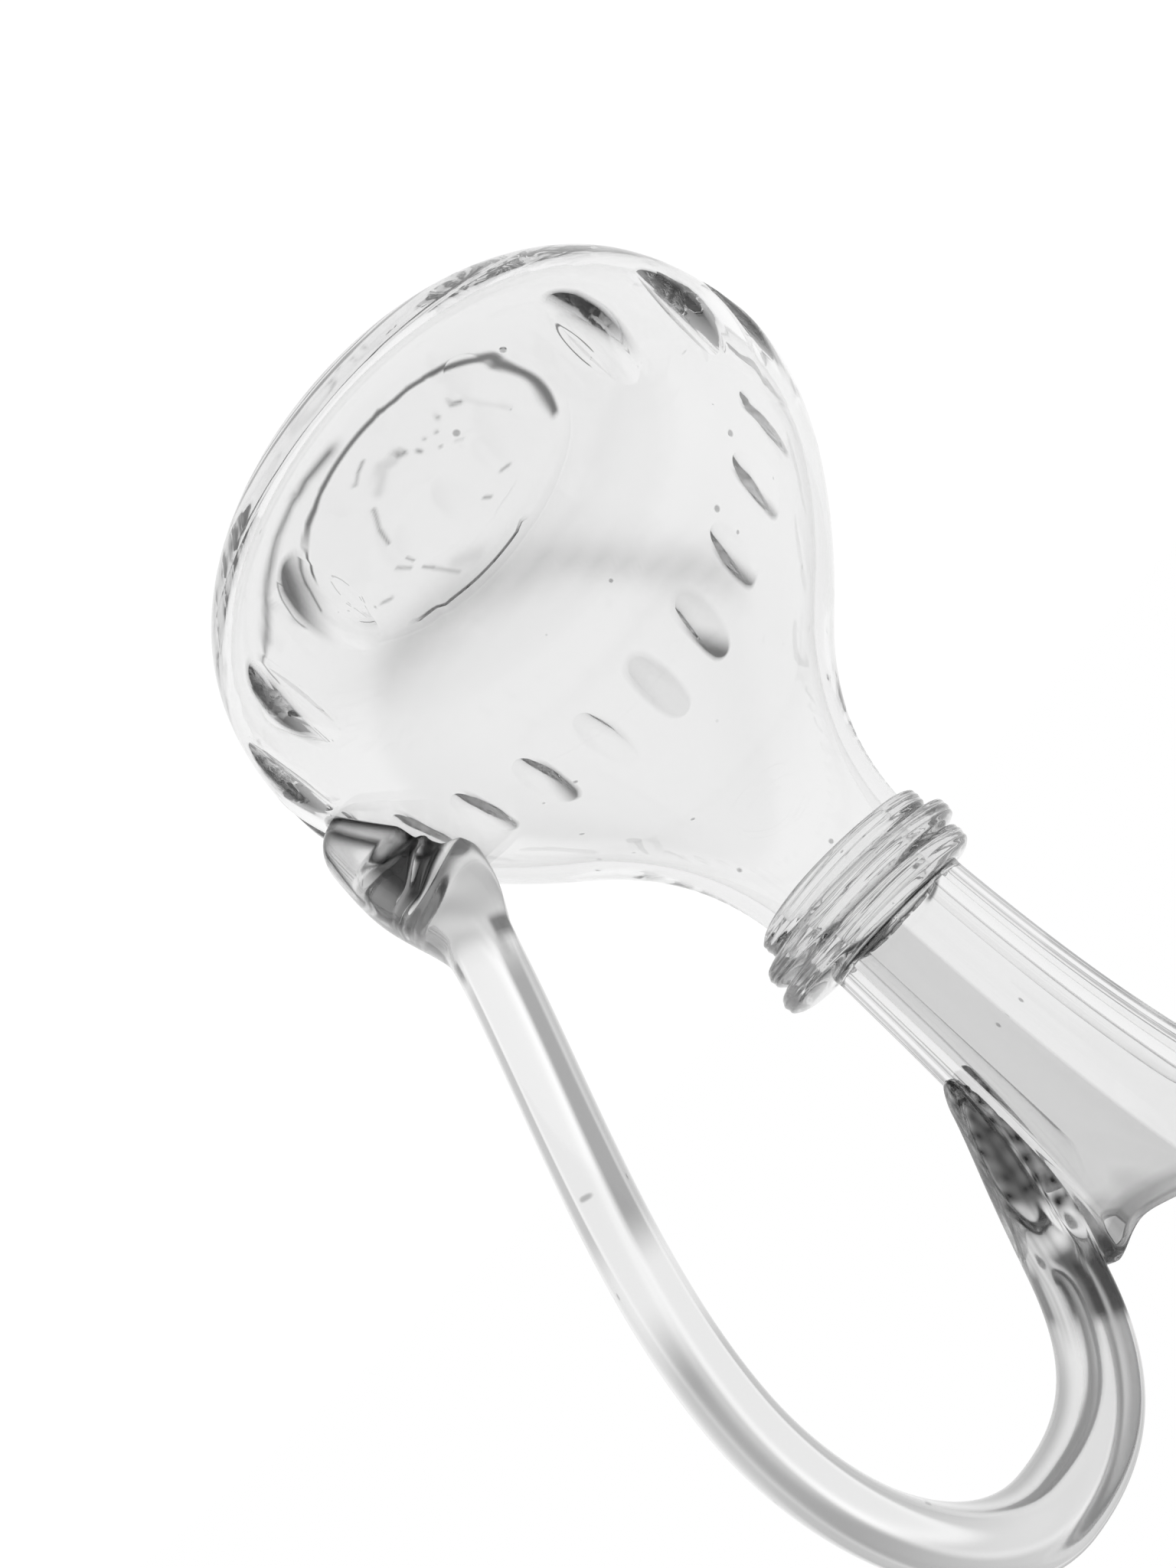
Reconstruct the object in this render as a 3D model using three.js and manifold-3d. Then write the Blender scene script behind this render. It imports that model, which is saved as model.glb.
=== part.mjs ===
// A hand-blown glass carafe: a bulb cut with a band of upright ovals, a panelled neck with three rings laid
// round it, a lip that rises to its spout, and a looped strap handle that lands on a pad at each end.
// Millimetres, +Z up. The carafe stands on z = 0 with its handle towards +X.
import * as THREE from 'three';
import { mergeVertices } from 'three/addons/utils/BufferGeometryUtils.js';
import Module from 'manifold-3d';

// Bulb, measured from the vessel's axis and from the table
const BASE_R = 39; // flat that rests on the table
const BELLY_R = 73; // widest point
const BELLY_Z = 37;
const SHOULDER_R = 40; // where the bulging shoulder turns hollow
const SHOULDER_Z = 89;
const SHOULDER_FALL = 42; // slope of the glass there, degrees below level
const PONTIL_R = 22; // shallow dish ground under the base
const PONTIL_DEPTH = 0.3;

// Neck and lip
const NECK_R = 16.6; // just above the rings
const NECK_SWELL = 1.8; // how much wider the neck is below the rings
const NECK_FOOT_Z = 127; // end of the shoulder, where the lowest ring sits
const LIP_R = 22;
const NECK_HEIGHT = 60.3; // from the rings up to the lip beside the handle
const LIP_RISE = 29; // how much higher the lip is at the spout
const SPOUT_REACH = 9; // how far the spout is drawn forward
const SPOUT_PINCH = 0.22; // how much the spout narrows
const SPOUT_POWER = 4; // how close to the lip, and how close to the front, the spout starts
const RISE_POWER = 2; // how close to the lip the neck starts to rise
const SLOPE_POWER = 1.8; // how close to the front the lip is steepest
const FLARE_LEAN = 0.8; // share of the flare that goes forward, so that the back of the neck stays straight
const PANEL_COUNT = 8; // flat panels ground on the neck
const PANEL_FADE = 5; // height in which a panel runs out, at the rings and under the lip

// Glass thickness
const WALL = 3.8; // bulb
const NECK_WALL = 3.4;
const LIP_WALL = 3;
const BASE_THICKNESS = 3.4;

// Band of ovals ground into the belly
const OVAL_COUNT = 20;
const OVAL_Z = 43;
const OVAL_WIDTH = 11;
const OVAL_HEIGHT = 22;
const OVAL_DEPTH = 2.1;

// Rings laid round the neck, from the lowest up.
// The lap is the extra depth where a thread's end covers its start.
const RINGS = [
  { name: 'neck_ring_lower', height: 4.6, depth: 2.8, lap: 0.3 },
  { name: 'neck_ring_middle', height: 5.0, depth: 5.6, lap: 2.2 },
  { name: 'neck_ring_upper', height: 5.2, depth: 4.3, lap: 6.2 },
];
const LAP_ANGLE = 0; // degrees from the handle
const LAP_SPREAD = 75; // degrees to either side

// Handle
const STRAP_WIDTH = 22;
const STRAP_THICK_FOOT = 13.5;
const STRAP_THICK_END = 9.6;
const HANDLE_OVERHANG = 16.3; // beyond the belly
const HANDLE_RISE = 25; // above the back of the lip
const LOOP_DROP = 22; // from the back of the lip down to the widest point of the loop
const FOOT_Z = 70; // middle of the lower pad on the bulb
const FOOT_RISE = 21.6; // from there up to the strap's foot
const FOOT_FALL = 18; // and down to the pad's tip
const FOOT_WIDTH = 24;
const FOOT_THICK = 24;
const FOOT_TIP_WIDTH = 14;
const FOOT_TIP_THICK = 13;
const FOOT_STANDOFF = 4.8; // from the bulb at the pad's middle out to the strap's foot
const FOOT_LEAN = 77; // slope of the strap at its foot, degrees above level
const LANDING_OUT = 11.9; // strap's end, out from the back of the neck
const LANDING_UP = 2; // strap's end, above the back of the lip
const LANDING_FALL = 66; // slope of the strap at its end, degrees below level
const TONGUE_LENGTH = 34; // upper pad, down the neck from the lip
const TONGUE_THICK = 11.5;
const TONGUE_TIP_WIDTH = 8;
const TONGUE_TIP_THICK = 3;
const TIP_ROUND = 5; // length in which the tip of a pad rounds off

// Fullness of the curves: lengths of their Bezier arms, as shares of the span that each one crosses
const BULB_ARMS = { heel: 0.66, belly: 0.73, flank: 0.33, upper: 0.43, hollow: 0.4, neck: 0.45 };
const FLOOR_ARMS = { middle: 0.86, heel: 0.86 };
const FLARE_ARMS = { lowOut: 0.07, lowUp: 0.42, highOut: 0.33, highUp: 0.75 };
const STRAP_ARMS = { rise: 0.32, loop: 0.55, fall: 0.5 };
const PAD_ARMS = { foot: 0.32, landing: 0.3, tip: 0.45 };
const SECTION_POWER = 3.5; // squareness of the strap's rounded section: 2 is an ellipse

// Fit and fineness
const GAP = 0.3; // between pieces of glass that touch
const SEGMENTS = 48; // round the axis: a multiple of twice the panel count
const BULB_STEPS = [7, 7, 5];
const INSIDE_STEPS = [6, 6, 4];
const NECK_STEPS = 8;
const LIP_STEPS = 4;
const DISH_STEPS = 3;
const OVAL_SIDES = 14;
const OVAL_RINGS = 8;
const BEAD_STEPS = 6;
const BAR_SIDES = 16;
const STRAP_STEPS = 32;
const PAD_STEPS = 12;
const PAD_CROWD = 1.7; // how much closer the steps lie towards a pad's tip: 1 is even
const SAMPLES = 60; // along a curve that is measured
const MERGE_DISTANCE = 1e-5;

// Sizes that follow
const RINGS_TOP_Z = RINGS.reduce((z, ring) => z + ring.height + GAP, NECK_FOOT_Z);
const LIP_BACK_Z = RINGS_TOP_Z + NECK_HEIGHT; // lip beside the handle
const NECK_TAPER = NECK_SWELL / (RINGS_TOP_Z - NECK_FOOT_Z); // under the rings
const HANDLE_REACH = BELLY_R + HANDLE_OVERHANG;
const PANEL_TURN = (2 * Math.PI) / PANEL_COUNT;
const NECK_BACK_X = NECK_R * Math.cos(PANEL_TURN / 2); // panel that faces the handle
const AXIS_X = (BELLY_R - HANDLE_REACH) / 2; // centres the carafe, handle included, on the origin

const { clamp, degToRad, lerp, smoothstep } = THREE.MathUtils;
const point = (r, z) => new THREE.Vector2(r, z);
const bezier = (a, b, c, d) => new THREE.CubicBezierCurve(a, b, c, d);

const wasm = await Module();
wasm.setup();

// Turns a closed geometry into a solid that can be joined and cut
function toSolid(geometry) {
  const bare = geometry.clone();
  bare.deleteAttribute('normal');
  bare.deleteAttribute('uv');
  const merged = mergeVertices(bare, MERGE_DISTANCE);
  const index = merged.index.array;
  const triangles = [];
  for (let i = 0; i < index.length; i += 3) {
    const [a, b, c] = index.slice(i, i + 3);
    if (a !== b && b !== c && c !== a) triangles.push(a, b, c);
  }
  const vertProperties = merged.attributes.position.array;
  const triVerts = new Uint32Array(triangles);
  return new wasm.Manifold(new wasm.Mesh({ numProp: 3, vertProperties, triVerts }));
}

// Turns a solid back into a geometry
function toGeometry(solid) {
  const { vertProperties, triVerts } = solid.getMesh();
  const geometry = new THREE.BufferGeometry();
  geometry.setAttribute('position', new THREE.BufferAttribute(vertProperties, 3));
  geometry.setIndex(new THREE.BufferAttribute(triVerts, 1));
  geometry.computeVertexNormals();
  return geometry;
}

// Moves every vertex of a geometry by a rule that gets the vertex and its number
function reshape(geometry, rule) {
  const position = geometry.attributes.position;
  const vertex = new THREE.Vector3();
  for (let i = 0; i < position.count; i += 1) {
    rule(vertex.fromBufferAttribute(position, i), i);
    position.setXYZ(i, vertex.x, vertex.y, vertex.z);
  }
  return geometry;
}

// Points of a chain of curves, each joint once
function chain(curves, steps) {
  const points = curves.flatMap((curve, i) => curve.getPoints(steps[i]).slice(1));
  return [curves[0].getPoint(0), ...points];
}

// Radius of an outline at a height, and how fast it grows there. The outline's points only rise.
function outlineAt(points, z) {
  const found = points.findIndex((p) => p.y >= z);
  const i = found < 0 ? points.length - 1 : Math.max(found, 1);
  const [low, high] = [points[i - 1], points[i]];
  const slope = (high.x - low.x) / (high.y - low.y);
  return { radius: low.x + slope * (z - low.y), slope };
}

// Outline of the bulb as three curves: heel to belly, belly to shoulder, shoulder to neck.
// The margins move it outwards, square to the glass.
function bulbCurves(margin, neckMargin) {
  const fall = degToRad(SHOULDER_FALL);
  const upward = point(-Math.cos(fall), Math.sin(fall));
  const base = point(BASE_R, -margin);
  const belly = point(BELLY_R + margin, BELLY_Z);
  const shoulder = point(SHOULDER_R + margin * Math.sin(fall), SHOULDER_Z + margin * Math.cos(fall));
  const neck = point(NECK_R + NECK_SWELL + neckMargin, NECK_FOOT_Z);
  const bulgeRise = SHOULDER_Z - BELLY_Z;
  const hollowRise = NECK_FOOT_Z - SHOULDER_Z;
  const heelArm = point(lerp(BASE_R, belly.x, BULB_ARMS.heel), base.y);
  const bellyArm = point(belly.x, BELLY_Z * (1 - BULB_ARMS.belly));
  const flankArm = point(belly.x, BELLY_Z + BULB_ARMS.flank * bulgeRise);
  const upperArm = shoulder.clone().addScaledVector(upward, -BULB_ARMS.upper * bulgeRise);
  const hollowArm = shoulder.clone().addScaledVector(upward, BULB_ARMS.hollow * hollowRise);
  const neckDrop = BULB_ARMS.neck * hollowRise;
  const neckArm = point(neck.x + NECK_TAPER * neckDrop, NECK_FOOT_Z - neckDrop);
  return [
    bezier(base, heelArm, bellyArm, belly),
    bezier(belly, flankArm, upperArm, shoulder),
    bezier(shoulder, hollowArm, neckArm, neck),
  ];
}

// Outline of the flaring neck above the rings, up to where the lip turns over
function flareCurve(footRadius, lipRadius) {
  const rise = LIP_BACK_Z - RINGS_TOP_Z;
  const flare = lipRadius - footRadius;
  const foot = point(footRadius, RINGS_TOP_Z);
  const lowArm = point(footRadius + FLARE_ARMS.lowOut * flare, RINGS_TOP_Z + FLARE_ARMS.lowUp * rise);
  const highArm = point(footRadius + FLARE_ARMS.highOut * flare, RINGS_TOP_Z + FLARE_ARMS.highUp * rise);
  return bezier(foot, lowArm, highArm, point(lipRadius, LIP_BACK_Z));
}

const bulbSamples = chain(bulbCurves(0, 0), [SAMPLES, SAMPLES, SAMPLES]);
const flareSamples = flareCurve(NECK_R, LIP_R).getPoints(SAMPLES);

// Outer outline from the edge of the base to the top of the neck
function outerOutline(margin) {
  const flare = flareCurve(NECK_R + margin, LIP_R + margin);
  return [...chain(bulbCurves(margin, margin), BULB_STEPS), ...flare.getPoints(NECK_STEPS)];
}

// Inner outline from the lip down to the middle of the floor
function innerOutline() {
  const belly = point(BELLY_R - WALL, BELLY_Z);
  const middleArm = point(FLOOR_ARMS.middle * belly.x, BASE_THICKNESS);
  const heelArm = point(belly.x, lerp(BELLY_Z, BASE_THICKNESS, FLOOR_ARMS.heel));
  const floor = bezier(point(0, BASE_THICKNESS), middleArm, heelArm, belly);
  const [, bulge, hollow] = bulbCurves(-WALL, -NECK_WALL);
  const flare = flareCurve(NECK_R - NECK_WALL, LIP_R - LIP_WALL);
  return [...chain([floor, bulge, hollow], INSIDE_STEPS), ...flare.getPoints(NECK_STEPS)].reverse();
}

// Grinds the neck's round outside to flat panels, which run out at the rings and under the lip
function panelRadius(radius, angle, z) {
  const local = angle - PANEL_TURN * Math.round(angle / PANEL_TURN);
  const flat = (radius * Math.cos(PANEL_TURN / 2)) / Math.cos(local);
  const panelTop = LIP_BACK_Z - LIP_WALL;
  const above = smoothstep(z, RINGS_TOP_Z, RINGS_TOP_Z + PANEL_FADE);
  const below = 1 - smoothstep(z, panelTop - PANEL_FADE, panelTop);
  return lerp(radius, flat, above * below);
}

// Draws the round neck into its poured form: it leans forward, the lip rises and the spout narrows
function pour(vertex) {
  const height = clamp((vertex.z - RINGS_TOP_Z) / (LIP_BACK_Z - RINGS_TOP_Z), 0, 1);
  const front = (1 - Math.cos(Math.atan2(vertex.y, vertex.x))) / 2;
  const lean = FLARE_LEAN * (outlineAt(flareSamples, Math.min(vertex.z, LIP_BACK_Z)).radius - NECK_R);
  const spout = (height * front) ** SPOUT_POWER;
  vertex.x -= lean + SPOUT_REACH * spout;
  vertex.y *= 1 - SPOUT_PINCH * spout;
  vertex.z += LIP_RISE * height ** RISE_POWER * front ** SLOPE_POWER;
}

// Revolves an outline and draws its neck into shape. The first outerCount points lie on the outside.
function revolveVessel(outline, outerCount) {
  const lathe = new THREE.LatheGeometry(outline, SEGMENTS);
  lathe.rotateX(Math.PI / 2);
  reshape(lathe, (vertex, i) => {
    if (vertex.z <= RINGS_TOP_Z) return;
    if (i % outline.length < outerCount) {
      const angle = Math.atan2(vertex.y, vertex.x);
      const radius = Math.hypot(vertex.x, vertex.y);
      const ground = panelRadius(radius, angle, vertex.z);
      vertex.x = ground * Math.cos(angle);
      vertex.y = ground * Math.sin(angle);
    }
    pour(vertex);
  });
  return toSolid(lathe);
}

// The cut of one oval: an egg that follows the curve of the belly, half of it below the surface
function ovalCut(angle) {
  const egg = new THREE.SphereGeometry(1, OVAL_SIDES, OVAL_RINGS);
  return reshape(egg, (vertex) => {
    const z = OVAL_Z + (vertex.y * OVAL_HEIGHT) / 2;
    const { radius, slope } = outlineAt(bulbSamples, z);
    const out = (vertex.x * OVAL_DEPTH) / Math.hypot(1, slope);
    const turn = angle - (vertex.z * OVAL_WIDTH) / (2 * radius);
    vertex.set((radius + out) * Math.cos(turn), (radius + out) * Math.sin(turn), z - out * slope);
  });
}

// The blown vessel: outside, lip and inside revolved in one outline, then the ovals ground in
function makeVessel() {
  const dishTop = point(0, PONTIL_DEPTH);
  const dish = new THREE.QuadraticBezierCurve(dishTop, point(PONTIL_R / 2, PONTIL_DEPTH), point(PONTIL_R, 0));
  const lipRound = LIP_WALL / 2;
  const lip = new THREE.EllipseCurve(LIP_R - lipRound, LIP_BACK_Z, lipRound, lipRound, 0, Math.PI);
  const outside = [...dish.getPoints(DISH_STEPS), ...outerOutline(0)];
  const outline = [...outside, ...lip.getPoints(LIP_STEPS).slice(1, -1), ...innerOutline()];
  let vessel = revolveVessel(outline, outside.length);
  for (let i = 0; i < OVAL_COUNT; i += 1) {
    const angle = ((i + 0.5) * 2 * Math.PI) / OVAL_COUNT;
    vessel = vessel.subtract(toSolid(ovalCut(angle)));
  }
  return toGeometry(vessel);
}

// The space that the vessel takes up, with the gap round it: what is laid on the vessel is cut by this
function vesselSpace() {
  const outline = [point(0, -GAP), ...outerOutline(GAP), point(0, LIP_BACK_Z)];
  return revolveVessel(outline, outline.length);
}

// One ring: a thread of glass whose seat follows the neck, deeper towards its lap
function makeRing({ height, depth, lap }, footZ) {
  const seatAt = (z) => NECK_R + NECK_TAPER * (RINGS_TOP_Z - z) + GAP;
  const bead = new THREE.EllipseCurve(0, footZ + height / 2, depth, height / 2, -Math.PI / 2, Math.PI / 2);
  const outline = bead.getPoints(BEAD_STEPS).map((p) => point(seatAt(p.y) + p.x, p.y));
  const ring = new THREE.LatheGeometry([...outline, outline[0]], SEGMENTS);
  ring.rotateX(Math.PI / 2);
  return reshape(ring, (vertex) => {
    const angle = Math.atan2(vertex.y, vertex.x) - degToRad(LAP_ANGLE);
    const away = Math.acos(clamp(Math.cos(angle), -1, 1)) / degToRad(LAP_SPREAD);
    const swollen = 1 + (lap / depth) * (1 - smoothstep(away, 0, 1));
    const seat = seatAt(vertex.z);
    const radius = Math.hypot(vertex.x, vertex.y);
    const stretch = (seat + (radius - seat) * swollen) / radius;
    vertex.x *= stretch;
    vertex.y *= stretch;
  });
}

// Draws a bar of glass along a path in the XZ plane.
// The size rule gives its width and thickness from the start of the path, 0, to the end, 1.
// The steps crowd towards the end.
function drawBar(path, steps, crowd, sizeAt) {
  const bar = new THREE.CylinderGeometry(1, 1, 1, BAR_SIDES, steps);
  const squared = (v) => Math.sign(v) * Math.abs(v) ** (2 / SECTION_POWER);
  return reshape(bar, (vertex) => {
    const t = 1 - clamp(0.5 - vertex.y, 0, 1) ** crowd;
    const { width, thick } = sizeAt(t);
    const middle = path.getPoint(t);
    const along = path.getTangent(t);
    const out = (squared(vertex.z) * thick) / 2;
    const across = (squared(vertex.x) * width) / 2;
    vertex.set(middle.x + along.z * out, across, middle.z - along.x * out);
  });
}

// A size that starts and ends as given and swells to its fullest between
function swell(start, full, end) {
  return (t) => lerp(start, end, t) + (full - (start + end) / 2) * Math.sin(Math.PI * t);
}

// Where the handle starts, turns and lands, in the XZ plane
const at = (x, z) => new THREE.Vector3(x, 0, z);
const direction = (degrees) => at(Math.cos(degToRad(degrees)), Math.sin(degToRad(degrees)));
const stepFrom = (from, towards, distance) => from.clone().addScaledVector(towards, distance);
const bulbX = (z) => outlineAt(bulbSamples, z).radius;
const footUp = direction(FOOT_LEAN);
const landingUp = direction(LANDING_FALL);
const halfThickAtReach = (STRAP_THICK_FOOT + STRAP_THICK_END) / 4;
const strapFoot = at(bulbX(FOOT_Z) + FOOT_STANDOFF, FOOT_Z + FOOT_RISE);
const strapReach = at(HANDLE_REACH - halfThickAtReach, LIP_BACK_Z - LOOP_DROP);
const strapEnd = at(NECK_BACK_X + LANDING_OUT, LIP_BACK_Z + LANDING_UP);
const strapTop = at((strapReach.x + strapEnd.x) / 2, LIP_BACK_Z + HANDLE_RISE - STRAP_THICK_END / 2);

// The strap: up from the bulb, round the loop above the lip and down to the back of the neck
function makeStrap() {
  const rise = STRAP_ARMS.rise * (strapReach.z - strapFoot.z);
  const loopX = STRAP_ARMS.loop * (strapReach.x - strapTop.x);
  const loopZ = STRAP_ARMS.loop * (strapTop.z - strapReach.z);
  const fall = STRAP_ARMS.fall * (strapTop.x - strapEnd.x);
  const path = new THREE.CurvePath();
  const arc = (a, b, c, d) => path.add(new THREE.CubicBezierCurve3(a, b, c, d));
  arc(strapFoot, stepFrom(strapFoot, footUp, rise), at(strapReach.x, strapReach.z - rise), strapReach);
  arc(strapReach, at(strapReach.x, strapReach.z + loopZ), at(strapTop.x + loopX, strapTop.z), strapTop);
  arc(strapTop, at(strapTop.x - fall, strapTop.z), stepFrom(strapEnd, landingUp, fall), strapEnd);
  const thick = (t) => lerp(STRAP_THICK_FOOT, STRAP_THICK_END, t);
  return drawBar(path, STRAP_STEPS, 1, (t) => ({ width: STRAP_WIDTH, thick: thick(t) }));
}

// A pad: a bar whose tip rounds off as a quarter circle does, cut to fit the vessel
function makePad(path, width, thick, space) {
  const length = path.getLength();
  const pad = drawBar(path, PAD_STEPS, PAD_CROWD, (t) => {
    const near = clamp(((1 - t) * length) / TIP_ROUND, 0, 1);
    const round = Math.sqrt(1 - (1 - near) ** 2);
    return { width: round * width(t), thick: round * thick(t) };
  });
  return toGeometry(toSolid(pad).subtract(space));
}

// The lower pad: a blob from the strap's foot down over the bulb
function makeLowerPad(space) {
  const start = stepFrom(strapFoot, footUp, -GAP);
  const tipZ = FOOT_Z - FOOT_FALL;
  const bend = stepFrom(start, footUp, -PAD_ARMS.foot * (start.z - tipZ));
  const middle = at(bulbX(FOOT_Z) + FOOT_STANDOFF, FOOT_Z - FOOT_STANDOFF);
  const path = new THREE.CubicBezierCurve3(start, bend, middle, at(bulbX(tipZ), tipZ));
  const thick = swell(STRAP_THICK_FOOT, FOOT_THICK, FOOT_TIP_THICK);
  const width = swell(STRAP_WIDTH, FOOT_WIDTH, FOOT_TIP_WIDTH);
  return makePad(path, width, thick, space);
}

// The upper pad: a tongue from the strap's end down the back of the neck
function makeUpperPad(space) {
  const start = stepFrom(strapEnd, landingUp, -GAP);
  const bend = stepFrom(start, landingUp, -PAD_ARMS.landing * TONGUE_LENGTH);
  const tip = at(NECK_BACK_X + GAP + TONGUE_TIP_THICK / 2, LIP_BACK_Z - TONGUE_LENGTH);
  const flat = at(tip.x, tip.z + PAD_ARMS.tip * TONGUE_LENGTH);
  const path = new THREE.CubicBezierCurve3(start, bend, flat, tip);
  const thick = swell(STRAP_THICK_END, TONGUE_THICK, TONGUE_TIP_THICK);
  const width = (t) => lerp(STRAP_WIDTH, TONGUE_TIP_WIDTH, t);
  return makePad(path, width, thick, space);
}

// The finished carafe, each piece of glass a mesh of its own
const carafe = new THREE.Group();
carafe.position.x = AXIS_X;

function addGlass(name, geometry) {
  const glass = new THREE.MeshStandardMaterial({ color: 0xeef1f1, roughness: 0.04, metalness: 0 });
  glass.transparent = true;
  glass.opacity = 0.35;
  const mesh = new THREE.Mesh(geometry, glass);
  mesh.name = name;
  carafe.add(mesh);
}

const space = vesselSpace();
addGlass('vessel', makeVessel());
let ringZ = NECK_FOOT_Z;
for (const ring of RINGS) {
  addGlass(ring.name, makeRing(ring, ringZ));
  ringZ += ring.height + GAP;
}
addGlass('handle_lower_pad', makeLowerPad(space));
addGlass('handle_strap', makeStrap());
addGlass('handle_upper_pad', makeUpperPad(space));

export default carafe;
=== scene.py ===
"""Looks of a hand-blown glass carafe: the vessel, the rings round its neck, its looped handle and the stage.

Every surface is worked out with numpy in metres, in the frame of the packed model, and stands on z = 0 with
the handle towards +X. Heights are measured from the table, radii from the vessel's upright axis and turns
from the handle. A tone is how much light a place lets through: 1 where the glass is clear, 0 where it is
deepest. Most tones are painted light and shade laid into the glass's colour: shaded edges and bands,
painted shadows between parts and bright lines of painted highlight.
"""
import math

import bpy
import numpy as np
from bpy.props import FloatProperty, FloatVectorProperty, IntProperty, PointerProperty
from mathutils import Matrix, Vector


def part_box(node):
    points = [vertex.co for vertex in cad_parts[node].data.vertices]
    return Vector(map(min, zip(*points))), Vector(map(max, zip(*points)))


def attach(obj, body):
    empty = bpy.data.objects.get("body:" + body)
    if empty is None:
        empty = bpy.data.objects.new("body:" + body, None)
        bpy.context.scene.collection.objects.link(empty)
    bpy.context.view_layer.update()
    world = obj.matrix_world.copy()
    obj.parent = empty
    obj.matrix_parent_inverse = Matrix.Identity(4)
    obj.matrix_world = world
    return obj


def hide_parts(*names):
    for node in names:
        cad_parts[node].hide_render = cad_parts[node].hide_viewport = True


bl_info = {
    "name": "Glass carafe",
    "version": (1, 0, 0),
    "blender": (4, 5, 0),
    "location": "View3D > Sidebar > Carafe",
    "description": "Builds a hand-blown glass carafe and the stage that it stands on",
    "category": "Object",
}

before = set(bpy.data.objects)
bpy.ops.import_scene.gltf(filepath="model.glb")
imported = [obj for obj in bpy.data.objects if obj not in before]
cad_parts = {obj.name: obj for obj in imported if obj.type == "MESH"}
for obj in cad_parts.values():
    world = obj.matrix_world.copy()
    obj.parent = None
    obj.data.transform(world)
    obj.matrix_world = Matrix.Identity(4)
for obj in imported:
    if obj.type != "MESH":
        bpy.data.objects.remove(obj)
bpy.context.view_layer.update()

MM = 0.001

# Fixed by the packed model
VESSEL_LOW, VESSEL_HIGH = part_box("vessel")
AXIS_X = (VESSEL_LOW.x + VESSEL_HIGH.x) / 2
RING_NODES = ("neck_ring_lower", "neck_ring_middle", "neck_ring_upper")
RING_BOXES = [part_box(node) for node in RING_NODES]
NECK_FOOT_Z = RING_BOXES[0][0].z
RING_GAP = RING_BOXES[1][0].z - RING_BOXES[0][1].z
RINGS_TOP_Z = RING_BOXES[2][1].z + RING_GAP
STRAP_LOW, STRAP_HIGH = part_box("handle_strap")

# Fullness of the curves: lengths of their Bezier arms, as shares of the span that each one crosses
BULB_ARMS = {"heel": 0.66, "belly": 0.73, "flank": 0.33, "upper": 0.43, "hollow": 0.4, "neck": 0.45}
FLOOR_ARMS = {"middle": 0.86, "heel": 0.86}
FLARE_ARMS = {"low_out": 0.07, "low_up": 0.42, "high_out": 0.33, "high_up": 0.75}
STRAP_ARMS = {"rise": 0.32, "loop": 0.55, "fall": 0.5}
PAD_ARMS = {"foot": 0.32, "landing": 0.3, "tip": 0.45}

# Fineness of the meshes
VESSEL_COLUMNS = 320  # a multiple of twice the panel count and of the oval count
BAND_ROWS = 41
RIM_SHARE = 0.7  # of an oval's cell, in grid lines, that lies inside its rim
NEAR = 1e-6  # grid lines this close to a line lie on it
SCAR_SPAN = (0.55, 1.45)  # rows lie closer here, in shares of the scar's radius
GROOVE_REACH = (-6.5, 1.8)  # and here, in half widths of the groove
UNDERSIDE_ROWS = (6, 32, 2, 30)
HEEL_SAMPLES = 600
HEEL_CROWD = 1.5  # how much closer the heel's samples lie towards the base: 1 is even
HEEL_ROWS = 28
UPPER_SAMPLES = 300
UPPER_ROWS = 30
ROW_GAP = 0.3 * MM  # at least, beside the belt of ovals and the groove
SEAT_SHARES = (0.4, 0.8, 0.95, 0.98, 1)  # rows behind the rings, as shares of their height
FLARE_START = 0.07  # rows lie closer on this share of the neck, where its panels run out
FLARE_ROWS = 24  # on that share, and on the rest
LIP_ROWS = 8
INNER_NECK_ROWS = 19
INNER_BULB_ROWS = (22, 16, 13)
RING_COLUMNS = 288
RING_ROWS = 48
RING_SEAT_ROWS = 8
HANDLE_ROWS = (110, 90, 80, 60, 90)
STRAP_ROWS = (HANDLE_ROWS[0], sum(HANDLE_ROWS[:4]))  # the strap's first and last row
HANDLE_COLUMNS = 128
SMOOTH_ROWS = 10  # to either side
SMOOTH_REACH = 2.5  # in deviations
OUTLINE_SAMPLES = 400
SLOPE_STEP = 0.1 * MM
FLOOR_ROWS = 24
FLOOR_COLUMNS = 96

# Shape of the neck: powers that say how close to the lip, or to the front, a change lies
SPOUT_POWER = 4
RISE_POWER = 2
SLOPE_POWER = 1.8
PULL_POWER = 5
PANEL_RUNOUT = 1.4  # how far a panel leaves the glass at the rings, in depths of the panel

# Painted shade, stray and wear of the ovals, with turns in degrees from the one at which the ovals have no
# shaded edge
STRAY_SPAN = (-0.3, 1)  # sines of the turn from the handle over which the ovals come to run higher
WORN_MIDDLE, WORN_SPREAD = -6, 18  # ovals worn flat
SHADED_FACE_MIDDLE, SHADED_FACE_SPREAD, SHADED_FACE_DARK = 190, 14, 0.3  # ovals whose faces get a painted grey shade
LEE_SPAN = (0.0, 0.85)  # from the middle of an oval to where its painted shaded edge is darkest, in radii
SHADE_SPAN = (0.25, 0.36)  # sines of the turn over which the painted shaded edges set in

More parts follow.
